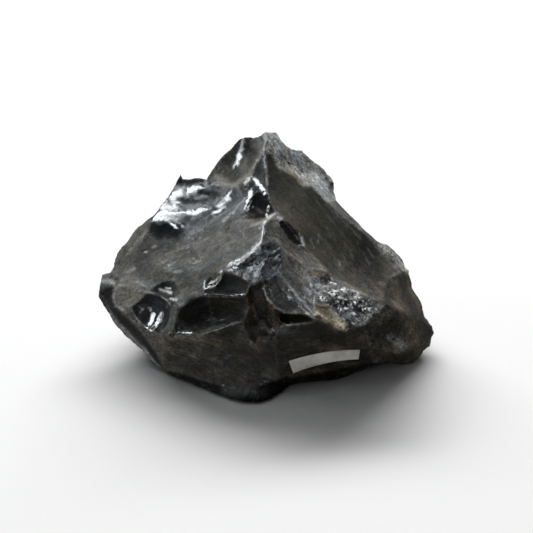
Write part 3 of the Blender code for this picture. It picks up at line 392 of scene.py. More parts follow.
        "film": 1, "tone": (0.011, 0.0075, 0.0045), "dull": 1, "wave": 0.3, "crush": 0.35, "flow": -80,
        "speck": 0.15, "cloud": 0.7, "soft": 1.6,
    },
    "lower left face": {
        "outline": [
            (-48, -34.2), (-37, -33.6), (-33, -34.2), (-25, -31.7), (-17, -28.8), (-11, -26), (-11, -31),
            (-9, -36), (-6, -39.5), (-3.5, -35.3), (1, -35.5), (3.2, -38.7), (4, -44), (5, -50),
            (4, -55.8), (0, -58.3), (-8, -61), (-18, -60.7), (-30, -57.5), (-42, -53.8), (-51, -52.5),
            (-49, -48), (-50.8, -43), (-53.5, -38.5), (-53.5, -34),
        ],
        "film": 0.9, "tone": (0.08, 0.0735, 0.065), "dull": 0.95, "wave": 0.6, "flow": -22, "streak": 0.5,
        "speck": 0.25, "cloud": 0.8,
    },
    "lower right face": {
        "outline": [
            (5, -34), (16, -33.2), (27, -34.3), (34.5, -35), (42, -34), (48.5, -33), (51, -38), (52, -44),
            (53, -48), (45, -49.3), (35, -51.3), (25, -53.3), (15, -55.3), (4, -55.8), (5, -50), (4, -44),
            (3.2, -38.7),
        ],
        "film": 0.9, "tone": (0.049, 0.043, 0.038), "dull": 0.95, "wave": 0.5, "flow": 9, "streak": 0.5,
        "speck": 0.2, "cloud": 0.9,
    },
    # near black: painted shade along the bottom edges
    "hems": {
        "outline": [
            (-51, -52.5), (-42, -53.8), (-30, -57.5), (-18, -60.7), (-8, -61), (0, -58.3), (4, -55.8),
            (15, -55.3), (25, -53.3), (35, -51.3), (45, -49.3), (53, -48), (60, -48), (50, -52), (35, -58),
            (16, -59), (8, -63), (-3, -69), (-18, -68), (-35, -61),
        ],
        "film": 1, "tone": (0.008, 0.0066, 0.005), "dull": 1, "wave": 0.4, "crush": 0.2, "flow": 0,
        "cloud": 0.8,
    },
    "rubble": {
        "outline": [
            (59, -19.3), (66, -22.3), (61, -27), (57, -31), (61, -36), (56, -43), (52, -44), (51, -38),
            (48.5, -33), (50, -29), (52, -26.3), (57, -23),
        ],
        "film": 0.58, "tone": (0.045, 0.041, 0.033), "dull": 0.8, "wave": 0.4, "crush": 0.4, "flow": 60,
        "speck": 0.7, "cloud": 0.35, "soft": 2,
    },
    "bulge": {
        "outline": [
            (67, -3.2), (71.5, -2), (74, -8), (77, -16), (83, -25), (85.5, -32), (83, -40), (78, -46),
            (68, -50), (60, -48.5), (53, -48), (52, -44), (56, -43), (61, -36), (57, -31), (61, -27),
            (66, -22.3), (59, -19.3), (58.5, -12), (61, -6.3),
        ],
        "film": 0.68, "tone": (0.068, 0.058, 0.044), "dull": 0.8, "wave": 0.4, "crush": 0.12, "flow": -35,
        "streak": 0.35, "speck": 0.6, "cloud": 1,
    },
}

# How the front is painted. Pitches are in mm, and turns are 1 where a face looks straight at the photo's
# camera and 0 where it is seen edge on.
brush = {
    "leastTurn": 0.03,         # faces turned less than this keep the skin of the hidden sides
    "turnFade": 0.12,
    "wander": 2.4,             # how edges wander
    "wanderShare": 0.6,
    "calmTurn": 0.12,          # and where they run calm, so that no edge is drawn out
    "calmFade": 0.6,
    "flowStretch": 5,
    "flowBend": 1.6,
    "flowBendPitch": 14,
    "depthShare": 0.5,
    "streak": (9.0, 1.1),      # length and width
    "hair": (5.0, 0.55),
    "hairShare": 0.4,
    "cloudPitch": 11,
    "toneSwing": 1.3,
}

# What the hidden sides have, which the photo doesn't show: satin glass, darker and duller near the floor as
# painted shade under the stone.
hiddenFinish = {
    "film": 0.72, "tone": (0.019, 0.0185, 0.0165), "dull": 0.30, "wave": 2.2, "crush": 0.03,
    "speck": 0.15, "streak": 0.15,
    "flowPlace": (0.15, 1.0, 0.6),
    "drawnOut": (1.0, 3.5, 2.5),
    "drawnPitch": 18,
    "cloudPitch": 22,
    "filmSwing": 0.3,
    "dullSwing": 0.3,
    "cloudTone": 0.5,
    "drawnTone": 0.2,
    "floorShadeTone": (0.010, 0.009, 0.007),
    "floorShadeHeight": 8,
}

# What the kinds of marks are made of. crisp is how suddenly a stroke ends at its sides, and ragged how far
# its edges wander.
plainStroke = {"crisp": 2, "ragged": 0.25}
markKinds = {
    # painted darkness: near black and dull where the glass should reflect nothing
    "dark": {"film": 1, "tone": (0.006, 0.008, 0.012), "dull": 1, "crisp": 3, "ragged": 0.8},
    "shade": {"film": 0.95, "tone": (0.078, 0.079, 0.076), "dull": 1},
    "veil": {"film": 0.75, "dull": 0.85},
    "tan": {"film": 0.88, "tone": (0.20, 0.175, 0.125), "dull": 0.5},
    "rust": {"film": 0.85, "tone": (0.105, 0.060, 0.030), "dull": 0.55},
    # near black: painted shade in slits, holes, recesses and along the bottom, and painted darkness over
    # glare
    "paintedDeepShade": {"film": 0.8, "tone": (0.012, 0.010, 0.008), "dull": 0.7},
    # pale dust, specks and hackle lines, and in part painted highlights on the crest, the lobe and the
    # sliver's rim
    "pale": {"film": 0.92, "tone": (0.42, 0.43, 0.43), "dull": 0.4, "crisp": 3, "ragged": 0.7},
    "cream": {"film": 0.97, "tone": (0.33, 0.285, 0.20), "dull": 0.65},
    "sheen": {"film": 0.36, "tone": (0.085, 0.092, 0.098), "dull": 0.12, "crisp": 4, "ragged": 1.1},
    "clean": {"film": 0.3, "tone": (0.044, 0.045, 0.046), "dull": 0.12, "crisp": 4, "ragged": 0.7},
    "glint": {"film": 1, "tone": (0.95, 0.97, 1.0), "dull": 0.3, "crisp": 3, "ragged": 0.4},
    # lighter grey dust and mottling, in part painted brightening of faces
    "greyDustAndPaintedLight": {"film": 0.85, "tone": (0.19, 0.19, 0.182), "dull": 0.8, "ragged": 2},
    # dark brown: mostly painted shade on faces that catch too much light, in part the stone's own brown
    "brownPaintedShade": {"film": 0.92, "tone": (0.016, 0.0145, 0.0095), "dull": 0.9, "ragged": 1.5},
    # lighter olive dust, in part painted brightening of faces
    "haze": {"film": 0.88, "tone": (0.072, 0.068, 0.040), "dull": 0.75, "ragged": 1.5},
}

# Marks on the front, laid in this order: from (across, up) to (across, up), the half width and how strong.
marks = {
    # painted darkness where the glass should reflect nothing, mostly between the highlight bands of the wing
    "dark": [
        (-56, 18, -53, 20, 3, 0.9), (-53, 18, -45, 16.5, 4.2, 1), (-45, 18.5, -41.5, 21, 1.4, 0.8),
        (-56, 21, -53, 15, 2.2, 0.7), (-55, 20.6, -46, 19.6, 2, 0.8), (-32, 37, -25.5, 35.8, 2.4, 1),
        (-42, 32.5, -30, 34, 1.8, 0.7), (-46, 42.6, -33, 42.8, 1.9, 0.95),
        (-28, 41.5, -24, 39.5, 1.2, 0.6), (-40, 42, -36, 41, 1, 0.4), (-44, 33, -36, 33.5, 1.6, 0.3),
        (-10, 60, -8, 56, 2.4, 0.4), (-4, 34, -2, 28, 3, 0.8), (-8, 27, -2, 27.5, 2, 0.5),
        (-39, -17.8, -33, -17.2, 2.2, 0.9), (-28, 47, -20, 57, 2.4, 0.35), (-10, 60, -6, 50, 3, 0.4),
        (-2, 14, 4, 11.5, 1.2, 0.4), (-1, -4, 4, 2, 2, 0.4),
    ],
    "shade": [
        (-68, 6, -61, 1, 6, 0.45), (-30, -3, -24, 0, 3, 0.6), (-20, -52, -4, -54, 5, 0.5),
        (-26, 48, -18, 52, 4, 0.5), (40, 10, 58, -6, 6, 0.5), (-56, 11, -44, 8, 3, 0.4),
        (12, -6, 18, -14, 2, 0.3), (-66, 4, -60, 14, 5, 0.5), (-62, -4, -52, -5, 4, 0.8),
        (-40, -8, -28, -3, 3, 0.7), (-50, -4, -40, -5, 4, 0.6), (-44, -12, -30, -10, 4, 0.3),
        (-58, 10, -46, 10, 4, 0.35), (50, -2, 58, -12, 6, 0.6), (36, 6, 50, -4, 5, 0.4),
        (-50, -2, -30, 4, 6, 0.3), (-26, 4, -14, 7, 3, 0.25), (-34, 33, -24, 34, 2.6, 0.35),
        (-44, 24, -36, 22, 2.6, 0.4),
    ],
    "veil": [
        (-16, 36, -26, 26, 7, 0.7), (-26, 26, -40, 20, 6, 0.35),
    ],
    "tan": [
        (0, 62, -4, 54, 1, 0.7), (-4, 54, -9, 46, 1, 0.6), (-9, 46, -16, 40.5, 1, 0.7),
        (-16, 40.5, -24, 41, 0.9, 0.6), (-18, 40, -24, 30, 1.4, 0.35), (-13, 18, -7, 20.5, 0.7, 0.6),
        (-7, 20.5, 0, 23, 0.7, 0.8), (-17, 22.5, -6, 23.4, 0.5, 0.5), (0, 23.5, 5, 26.5, 0.8, 0.8),
        (-18, 0, -22, -3, 0.6, 0.8), (-22, -3, -24, -8, 0.5, 0.7), (-24, -8, -27, -10, 0.5, 0.6),
        (-20, -2, -12, -5, 0.8, 0.8), (-12, -5, -6, -8.3, 0.8, 0.7), (60, -6, 67, -2.7, 0.9, 0.9),
        (-76, -9.8, -61, -9.6, 0.7, 0.5), (-84, -4, -76, -9, 0.8, 0.3), (-70, -2.5, -66, -1, 0.9, 0.6),
        (5, 27, 19, 10.5, 0.45, 0.5), (19, 10, 33, -5, 0.6, 0.6), (33, -5, 59, -19.3, 0.6, 0.6),
        (-46, -35.5, -33, -37, 1.3, 0.55), (-52, -37, -51, -41, 1.2, 0.6), (59, -20, 50, -29, 0.5, 0.4),
        (0, -50, 5, -55, 1.6, 0.5), (7, -30, 24, -28, 0.5, 0.6), (22, -2, 33, -9, 0.8, 0.4),
        (-70, 6, -60, 18, 0.7, 0.5), (-2, -54, 4, -56, 1.2, 0.4), (50, -33, 52, -40, 0.8, 0.35),
        (-25, 45, -20, 42, 1.6, 0.5), (24, 34, 44, 8, 0.5, 0.35), (12, 36, 34, 6, 0.5, 0.3),
        (30, 26, 50, 2, 0.45, 0.35), (-38, 16, -16, 30, 0.7, 0.35), (-50, 6, -30, 14, 0.7, 0.35),
    ],
    "rust": [
        (-9, 26.4, -6.5, 25.4, 0.9, 0.35), (-11, 28, -9.5, 26.6, 0.7, 0.25),
        (-73, -20.8, -70.5, -23, 0.9, 0.9), (-34, -42, -27, -46, 0.6, 0.4),
        (-27, -46, -22, -48.5, 0.6, 0.5), (35, 3, 47, -3, 0.8, 0.55), (47, -3, 53, -8, 0.9, 0.6),
        (53, -8, 58, -15, 0.9, 0.55), (57, -16, 59, -12, 1, 0.5), (4, -36, 5, -50, 1.3, 0.35),
        (-10, -14, -9, -34, 1.2, 0.3), (2, -18, 5, -32, 1.4, 0.35), (22, -3, 26, -4.5, 0.8, 0.6),
        (-31, 37.5, -24, 43.5, 0.6, 0.25), (-5, 29, -2, 27, 0.8, 0.35), (24, 22, 38, -2, 1, 0.3),
        (8, 32, 16, 22, 1.8, 0.3), (2, -20, 3, -12, 0.9, 0.3), (43, -9.5, 44, -10, 0.8, 0.6),
        (-12, -36, -6, -40, 1, 0.3), (-38, -37, -30, -38, 1.5, 0.25), (-20, -38, -14, -36, 1.4, 0.25),
        (-32, -44, -29, -46.5, 0.5, 0.5), (-44, -46, -36, -50, 1.2, 0.2), (8, -38, 20, -36.5, 1, 0.2),
        (-3, -28, 2, -33, 1.2, 0.4), (-7, -20, -5, -26, 0.8, 0.4), (-26, 52, -22, 48, 2.5, 0.3),
        (-13, 50, -8, 56, 1.2, 0.3),
    ],
    # painted shade in slits, holes, recesses and along the bottom, and painted darkness over glare
    "paintedDeepShade": [
        (-5, -12, -3, -20, 2.6, 0.5), (-9, -27, -4, -34, 2.2, 0.5), (5, -29, 5, -35, 1, 0.5),
        (46, -34, 60, -47, 2, 0.25), (-25, -8.6, -23.2, -4.6, 0.8, 0.9), (24, -1.8, 31, -3.4, 0.8, 0.9),
        (25, -19.8, 31, -21, 0.8, 0.8), (15, -34, 33, -35.6, 0.9, 0.7), (70, -4.5, 73, -5, 0.9, 0.8),
        (-3, -30, -8, -30, 1.4, 0.6), (28, 47, 33, 42, 1.8, 0.6), (2, 55.5, 4.5, 52, 0.9, 0.8),
        (-21, -63, -2, -63, 3, 0.7),
    ],
    # pale dust, specks and hackle lines, and in part painted highlights on the crest, the lobe and the
    # sliver's rim
    "pale": [
        (-52, 2, -51, 1.5, 0.6, 0.4), (-50.5, 3, -49.5, 3.2, 0.5, 0.4), (-49.5, 1, -48.5, 0.5, 0.6, 0.4),
        (-51, -0.5, -50, -1, 0.6, 0.35), (-48, 2.4, -47, 2, 0.5, 0.35),
        (-48.5, -1.5, -47.5, -1.2, 0.6, 0.35), (-37, 4, -35.5, 2.8, 0.4, 0.4),
        (-35.5, 2.8, -33, 2.6, 0.4, 0.4), (-33, 2.6, -31, 4.4, 0.4, 0.35), (-34, 6, -33, 4.8, 0.35, 0.35),
        (-11.5, 63, -13, 59, 0.9, 0.75), (-22, 22.5, -17, 27, 0.5, 0.8), (-17, 27, -11, 34, 0.45, 0.7),
        (-49, 0.5, -46, 2, 0.8, 0.45), (-46, -3, -43, -2.4, 0.7, 0.4), (-38, 2.5, -36, 1.5, 0.6, 0.4),
        (0, 64, -1, 58, 0.6, 0.8), (-1.4, 56, -0.4, 50, 0.5, 0.9), (0, 50, 0.3, 41, 0.5, 0.8),
        (-3.5, 55, -6.5, 49, 0.5, 0.4), (18.5, 11, 16, 10.3, 0.6, 0.9), (16, 16.5, 18.4, 11.5, 0.5, 0.9),
        (42, 8.5, 43.5, 3, 0.5, 0.6), (48, 8, 51.5, 1, 0.5, 0.6), (39, 12, 41, 9, 0.5, 0.4),
        (45, 12, 47, 8, 0.5, 0.35), (36, 3, 36.5, 0.5, 0.5, 0.5), (26, 17, 25.8, 12, 0.45, 0.4),
        (30, 20, 33, 14, 0.35, 0.4), (33, 17, 36, 9, 0.35, 0.4), (50, 10, 54, 4, 0.4, 0.4),
        (22, 14, 24, 9, 0.35, 0.35), (38, 6, 40, 1, 0.4, 0.4), (12, -11, 20, -20.5, 0.4, 0.45),
        (9, -7.5, 23, -23, 0.4, 0.6), (11, -8.5, 22, -21, 0.35, 0.4), (14, -15, 19, -22, 0.4, 0.4),
        (17, -20, 22.5, -25, 0.5, 0.6), (8, -11, 12, -16, 0.35, 0.35), (57, 11, 62, 6, 1.6, 0.5),
        (64, 6, 70.5, -3, 1.5, 0.6), (62, -36, 69, -40, 2.2, 0.35), (-84, -7, -77, -8, 1.2, 0.5),
        (-8, -3, -4, -5, 1, 0.4), (-12, 2, -8, 4, 0.8, 0.5), (30, -10, 38, -15, 0.6, 0.4),
        (3, 63, 15, 54, 3, 0.4), (20, 45, 27, 40, 2, 0.3), (-48, -17, -44.5, -16, 0.5, 0.5),
        (20, -23.5, 24, -25.5, 0.6, 0.9), (-1.5, -11, 0.5, -16, 0.45, 0.35),
        (0.5, -16, 4, -20.3, 0.45, 0.45), (4, -20.3, 9, -23, 0.45, 0.5), (9, -23, 15, -23.3, 0.45, 0.5),
        (30, 31, 47, 14, 0.6, 0.35), (3, 57, 10, 53, 0.8, 0.4),
    ],
    "cream": [
        (7, 51, 12, 47, 1.1, 0.85), (12, 47, 17, 43, 1.2, 0.85), (17, 42, 21, 40.3, 0.9, 0.8),
        (9, 51, 14, 47.5, 0.8, 0.5), (56.5, -8.5, 58.5, -9.5, 0.9, 0.7), (63, -7, 64.5, -8, 1, 0.5),
        (27, -22, 35, -30, 2, 0.55), (36, -30.5, 39.5, -32, 0.8, 0.8), (24, -26, 29, -27, 1, 0.4),
        (14, 46, 15.5, 43, 0.9, 0.5),
    ],
    "sheen": [
        (-55, 26.6, -46, 28.6, 4.6, 1), (-56, 25, -48, 25.5, 1.8, 1), (-51, 33, -47, 36, 1.7, 1),
        (-47, 36, -38, 38.5, 1.7, 1), (-38, 38.5, -32, 40.5, 1.3, 0.95), (-43, 30, -38, 27, 1, 0.8),
        (-39, 26.6, -34, 27.5, 1.1, 0.95), (-34, 28, -29, 29.2, 1.2, 0.95),
        (-24, 31.5, -20, 34.5, 2, 0.95), (-20, 34.5, -18.5, 38, 1.3, 0.9), (-26, 26, -21, 29, 1.3, 0.95),
        (-48, 21.5, -45, 19.5, 0.7, 0.9), (-43, 21, -42, 19.5, 0.6, 0.8),
        (-12.8, 58.5, -13.6, 55, 1.4, 0.95), (-13.5, 55, -16, 50, 1.1, 0.85),
        (-14, 65, -7, 65.5, 0.9, 0.8), (-27, 41.5, -24, 41, 0.7, 0.8), (-1, 22.5, -2, 15, 0.9, 1),
        (-2.5, 14, -9, 6.5, 0.9, 1), (-9, 6.5, -18, 1, 0.8, 0.9), (-36, 34, -30, 35, 1, 0.4),
    ],
    # lighter grey dust and mottling, in part painted brightening of faces
    "greyDustAndPaintedLight": [
        (21, 43, 33, 34, 2.6, 0.75), (-39, -35.2, -34, -34.6, 0.8, 0.4),
        (-44, -27, -40.5, -30.5, 1.5, 0.3), (1, -9, 4, -12, 0.8, 0.35), (6, -14, 9, -18, 0.8, 0.35),
        (3, -15, 6, -19, 0.6, 0.3), (-27, 9, -12, 14, 5, 0.5), (-22, 16, -8, 18, 2.5, 0.3),
        (-46, 9, -34, 13, 1.4, 0.3), (-42, 14, -30, 20, 1, 0.3), (-50, -2, -47, 1, 1, 0.5),
        (-44, 3, -41, 1, 1.2, 0.45), (-38, -1, -35, 1, 0.9, 0.4), (-31, 3, -29, 1, 0.8, 0.35),
        (-54, 4, -52, 5, 0.8, 0.35), (-46, -24, -47, -31, 1.2, 0.3), (57.5, -9, 58.5, -10, 1, 0.5),
        (63, -7.4, 64.5, -8.2, 1, 0.4), (65, -36, 68, -40, 1.6, 0.35), (12, -1, 20, -8, 1, 0.3),
        (10, -6, 18, -13, 0.7, 0.35),
    ],
    # dark brown: mostly painted shade on faces that catch too much light, in part the stone's own brown
    "brownPaintedShade": [
        (46, 6, 60, -7, 5.5, 0.75), (36, 6, 52, -6, 4, 0.5), (24, 22, 34, 8, 1.2, 0.3),
        (12, 34, 20, 22, 1.2, 0.3), (70, -42, 78, -40, 3, 0.3), (64, -46, 76, -41, 1.6, 0.4),
        (60, -33, 66, -29, 1.8, 0.6), (73, -27, 79, -35, 2, 0.5), (67, -12, 71, -18, 1.8, 0.5),
        (10, -40, 18, -43, 2, 0.5), (30, -37, 44, -36, 1.2, 0.5), (22, -49, 36, -48, 1.6, 0.45),
        (-40, -38, -32, -44, 2, 0.4), (62, -30, 70, -26, 1.6, 0.4), (60, -14, 66, -18, 1.4, 0.35),
        (72, -18, 76, -24, 1.6, 0.4), (-14, 60, -6, 62, 1.6, 0.4), (-6, 59, -4, 54, 1.4, 0.5),
        (-26, 47, -18, 45, 1, 0.35), (-74, 2, -66, 12, 1.4, 0.3), (-48, -3, -40, -6, 1.6, 0.3),
        (-36, -50, -28, -54, 2.2, 0.5), (-16, -42, -8, -44, 2, 0.35),
    ],
    # lighter olive dust, in part painted brightening of faces
    "haze": [
        (-28.6, -15.5, -27.6, -26, 0.8, 0.55), (-31, -25, -25, -27.5, 0.8, 0.5),
        (-38, -30.5, -30, -31, 0.8, 0.45), (-20, -17, -14, -18, 1, 0.3), (20, 26, 40, 9, 6, 0.6),
        (8, 44, 14, 32, 4, 0.3), (70, -25, 78, -38, 6, 0.35), (64, -10, 72, -14, 4, 0.3),
        (-30, -40, -16, -38, 4, 0.25), (10, -45, 40, -38, 4, 0.15),
    ],
    "glint": [
        (44.5, -15, 46.5, -15.5, 0.6, 0.8), (46.5, -19.5, 49.5, -19, 0.9, 0.85),
        (49.5, -19, 50.5, -21.5, 0.6, 0.7), (38, -11.5, 41, -13.5, 0.5, 0.6), (36, -14, 37, -17, 0.4, 0.5),
        (42, -22, 44, -24, 0.5, 0.5), (-11.8, 64, -12.7, 58.5, 0.7, 0.9), (-53, -11.6, -48, -13, 0.8, 0.9),
        (-50.5, -10.6, -48, -11.2, 0.5, 0.8), (-48, -16, -45, -17, 0.5, 0.6),
        (-9, 44, -10.5, 41.5, 0.9, 0.9), (-30.8, -7.5, -31, -10, 0.5, 0.8),
        (-23.5, 31, -19.5, 35, 1.4, 0.5), (-52, 30, -45, 25, 3, 0.4), (-48, 34.5, -40, 37.5, 1.2, 0.5),
        (-47.5, -34.4, -38, -33.2, 0.8, 0.9), (-56.8, 9.6, -55.4, 10, 0.5, 0.5),
        (-61, 7, -59.5, 7.3, 0.5, 0.7), (34, -12, 37, -11, 0.5, 0.4), (18.6, 10.9, 17.3, 14.5, 0.7, 1),
        (18.5, 10.6, 16.4, 10.2, 0.6, 0.9), (5.4, 24.6, 7.5, 23.8, 0.6, 0.7),
        (-41.4, 36.2, -41.4, 39.4, 0.9, 0.9), (0.2, 24.5, 4.5, 26.6, 0.5, 0.5),
        (31, -5.4, 34.5, -7.2, 0.5, 0.7), (-1, 22.5, -1.6, 17, 0.6, 0.8), (-1.6, 17, -3, 12, 0.5, 0.7),
        (-3, 12, -9, 6.5, 0.6, 0.9), (-9, 6.5, -13, 3.8, 0.5, 0.7), (-16, 1.5, -19, 0.2, 0.6, 0.9),
        (-31, -14.4, -24, -14.8, 0.5, 0.6), (-22, -14.7, -12, -14.5, 0.6, 0.9),
        (-18, -28.9, -13, -27.5, 0.4, 0.3),
    ],
    "clean": [
        (-5.5, 43.5, -4.5, 41, 1.1, 0.95), (-3, 40, -1, 37, 1.1, 0.95), (-8, 37, -10, 29, 1.3, 0.95),
        (-30, -10.5, -25, -8.5, 0.8, 1), (-31, -14.3, -11, -14.8, 0.7, 0.9),
        (-56.4, -24.3, -58, -28, 1, 1), (-58, -28, -60.5, -31, 0.8, 1), (-52.3, -23.5, -54, -28, 1.1, 1),
        (-54, -28, -57.8, -31.6, 0.9, 1), (-58.4, -21, -58, -21.8, 0.7, 1), (-48, -34.3, -38, -33, 1, 1),
        (2.5, 55.5, 4.5, 52, 0.5, 0.5), (0.8, 30, 0.5, 28, 0.7, 0.9), (0, 26, 0.2, 25, 0.7, 0.9),
        (45, -21, 49, -21, 1.2, 0.7), (36, -16, 39, -18, 1, 0.8), (42, -16, 46, -18, 1, 0.8),
        (46, -18, 51, -17.5, 0.9, 0.8), (48, -22, 50, -23, 1.2, 0.8), (53, -23, 55, -24.5, 1, 0.7),
        (31, -6, 35, -8, 0.8, 0.8), (30, 44, 33, 41, 0.9, 0.7), (-64, -20, -62, -21, 0.6, 0.6),
    ],
}


def copyOfNode(nodeName, pieceName):
    piece = bpy.data.objects.new(pieceName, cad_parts[nodeName].data.copy())
    bpy.context.scene.collection.objects.link(piece)
    piece.data.materials.clear()
    return piece


# Welds the CAD facets into one skin and rounds the scars, with the ridges between them kept crisp.
def smoothScars(piece):
    skin = bmesh.new()
    skin.from_mesh(piece.data)
    bmesh.ops.remove_doubles(skin, verts=skin.verts, dist=stoneShape["weld"])
    crease = skin.edges.layers.float.new("crease_edge")
    soft, sharp = stoneShape["softAngle"], stoneShape["sharpAngle"]
    for edge in skin.edges:
        bend = abs(edge.calc_face_angle(0))
        edge[crease] = stoneShape["sharpest"] * min(1, max(0, (bend - soft) / (sharp - soft)))
    skin.to_mesh(piece.data)
    skin.free()
    rounding = piece.modifiers.new("rounding", "SUBSURF")
    rounding.levels = rounding.render_levels = stoneShape["levels"]
    evaluated = piece.evaluated_get(bpy.context.evaluated_depsgraph_get())
    rounded = bpy.data.meshes.new_from_object(evaluated)
    piece.modifiers.clear()
    piece.data = rounded


def meshPoints(mesh):
    points = np.empty(len(mesh.vertices) * 3)
    mesh.vertices.foreach_get("co", points)
    return points.reshape(-1, 3)


def meshNormals(mesh):
    normals = np.empty(len(mesh.vertices) * 3)
    mesh.vertex_normals.foreach_get("vector", normals)
    return normals.reshape(-1, 3)


def movePoints(mesh, points):
    mesh.vertices.foreach_set("co", points.ravel())
    mesh.update()


# How far each point stands out from its neighbours, as a share of their distance: ridges come out
# above 0 and hollows below.
def standOut(mesh):
    points, normals = meshPoints(mesh), meshNormals(mesh)
    pairs = np.empty(len(mesh.edges) * 2, dtype=np.int64)
    mesh.edges.foreach_get("vertices", pairs)
    pairs = pairs.reshape(-1, 2)
    lean = np.zeros(len(points))
    count = np.zeros(len(points))
    for a, b in (pairs.T, pairs.T[::-1]):
        step = points[b] - points[a]
        slope = np.einsum("ij,ij->i", step, normals[a]) / np.linalg.norm(step, axis=1)
        np.add.at(lean, a, -slope)
        np.add.at(count, a, 1)
    return lean / count


def noiseAt(points, pitch, octaves=1, shift=0.0):
    offset = Vector((shift, -shift, 2 * shift))
    if octaves == 1:
        return np.array([noise.noise(Vector(p) / pitch + offset) for p in points])
    return np.array([noise.fractal(Vector(p) / pitch + offset, 1.0, 2.0, octaves) for p in points])


# 1 inside an outline and 0 outside it, turning over within soft mm of its edge.
def withinOutline(spots, outline, soft):
    corners = np.array(outline, float)
    nearest = np.full(len(spots), np.inf)
    crossings = np.zeros(len(spots), int)
    for start, end in zip(corners, np.roll(corners, -1, axis=0)):
        nearest = np.minimum(nearest, awayFromLine(spots, start, end))
        rises = (start[1] > spots[:, 1]) != (end[1] > spots[:, 1])
        slope = (end[0] - start[0]) / (end[1] - start[1] + 1e-9)
        crossings += rises & (spots[:, 0] < start[0] + (spots[:, 1] - start[1]) * slope)
    signed = np.where(crossings % 2 == 1, nearest, -nearest)
    return np.clip(0.5 + signed / soft, 0, 1)


def awayFromLine(spots, start, end):
    run = end - start
    share = np.clip((spots - start) @ run / max(run @ run, 1e-9), 0, 1)
    return np.linalg.norm(spots - start - share[:, None] * run, axis=1)


# Everything that the stone's skin needs at each point, by name, including the painted shade, darkness and
# highlights of some scars and marks.
def paintStone(mesh):
    points, normals = meshPoints(mesh), meshNormals(mesh)
    spots = onPicture(points)
    deep = (points - eye) @ sightWay / mm
    toEye = eye - points
    toEye /= np.linalg.norm(toEye, axis=1)[:, None]
    turned = np.einsum("ij,ij->i", toEye, normals)
    facing = np.clip((turned - brush["leastTurn"]) / brush["turnFade"], 0, 1)
    ragged = np.column_stack([noiseAt(points, brush["wander"] * mm, 3, shift) for shift in (5.0, 9.0)])
    ragged *= np.clip((turned - brush["calmTurn"]) / brush["calmFade"], 0, 1)[:, None]
    skin = hiddenSkin(points)
    for name, finish in scarFinish.items():
        layScar(skin, spots, deep, ragged, facing, {**plainScar, **finish}, float(len(name)))
    for kind, strokes in marks.items():
        layMarks(skin, spots, ragged, facing, {**plainStroke, **markKinds[kind]}, strokes)
    skin["film"] = np.clip(skin["film"], 0, 1)
    skin["tone"] = np.clip(skin["tone"], 0, 1)
    return skin


def hiddenSkin(points):
    look, count = hiddenFinish, len(points)
    skin = {name: np.full(count, float(look[name])) for name in skinParts}
    skin["flowPlace"] = points / mm * np.array(look["flowPlace"])
    skin["tone"] = np.tile(look["tone"], (count, 1))
    drawn = noiseAt(points * np.array(look["drawnOut"]), look["drawnPitch"] * mm, 2, 2.0)
    cloud = noiseAt(points, look["cloudPitch"] * mm, 3, 6.0)
    skin["film"] = np.clip(skin["film"] + look["filmSwing"] * cloud, 0.1, 0.95)
    skin["dull"] = np.clip(skin["dull"] + look["dullSwing"] * drawn, 0.15, 0.9)
    skin["tone"] *= np.exp(look["cloudTone"] * cloud + look["drawnTone"] * drawn)[:, None]
    # painted shade under the stone: darker, duller and more covered within a few mm of the floor
    nearFloorShade = np.clip(1.3 - points[:, 2] / (look["floorShadeHeight"] * mm), 0, 1) * (0.85 + 0.3 * drawn)
    for name in ("film", "dull"):
        skin[name] += nearFloorShade * (1 - skin[name])
    skin["tone"] += nearFloorShade[:, None] * (np.array(look["floorShadeTone"]) - skin["tone"])
    return skin


# Where a point lies along and across the streaks of its scar.
def alongFlow(spots, deep, flow, shift):
    turn = math.radians(flow)
    level = np.column_stack((spots, spots[:, 0] * 0))
    bend = brush["flowBend"] * noiseAt(level, brush["flowBendPitch"], 1, shift)
    along = spots[:, 0] * math.cos(turn) + spots[:, 1] * math.sin(turn)
    across = spots[:, 1] * math.cos(turn) - spots[:, 0] * math.sin(turn) + bend
    return np.column_stack((along / brush["flowStretch"], across, brush["depthShare"] * deep + 5 * shift))


# Noise drawn out along the flow, as dust and hackle lines lie on a scar.
def streaksAlong(place, size, shift):
    return noiseAt(place / np.array((size[0] / brush["flowStretch"], size[1], 1.0)), 1.0, 3, shift)


def layScar(skin, spots, deep, ragged, facing, finish, shift):
    wavy = spots + finish["soft"] * brush["wanderShare"] * ragged
    cover = facing * withinOutline(wavy, finish["outline"], finish["soft"])
    reached = np.flatnonzero(cover > 0)
    share, here, far = cover[reached], spots[reached], deep[reached]
    place = alongFlow(here, far, finish["flow"], shift)
    mostly = share > 0.5
    skin["flowPlace"][reached[mostly]] = place[mostly]
    streak = streaksAlong(place, brush["streak"], shift)
    hair = streaksAlong(place, brush["hair"], shift + 3)
    cloud = noiseAt(np.column_stack((here, far)), brush["cloudPitch"], 3, shift + 7)
    lift = (1 - brush["hairShare"]) * streak + brush["hairShare"] * hair
    lift = finish["streak"] * lift + finish["cloud"] * cloud
    for name in skinParts:
        aim = finish[name] + (lift if name == "film" else 0)
        skin[name][reached] += share * (aim - skin[name][reached])
    tone = np.array(finish["tone"])[None, :] * np.exp(brush["toneSwing"] * lift)[:, None]
    skin["tone"][reached] += share[:, None] * (tone - skin["tone"][reached])


def layMarks(skin, spots, ragged, facing, kind, strokes):
    spots = spots + kind["ragged"] * ragged
    for x0, y0, x1, y1, halfWidth, strength in strokes:
        gap = awayFromLine(spots, np.array((x0, y0), float), np.array((x1, y1), float))
        cover = facing * strength * np.exp(-((gap / halfWidth) ** kind["crisp"]))
        for name in ("film", "dull"):
            skin[name] += cover * (kind[name] - skin[name])
        if "tone" in kind:
            skin["tone"] += cover[:, None] * (np.array(kind["tone"]) - skin["tone"])


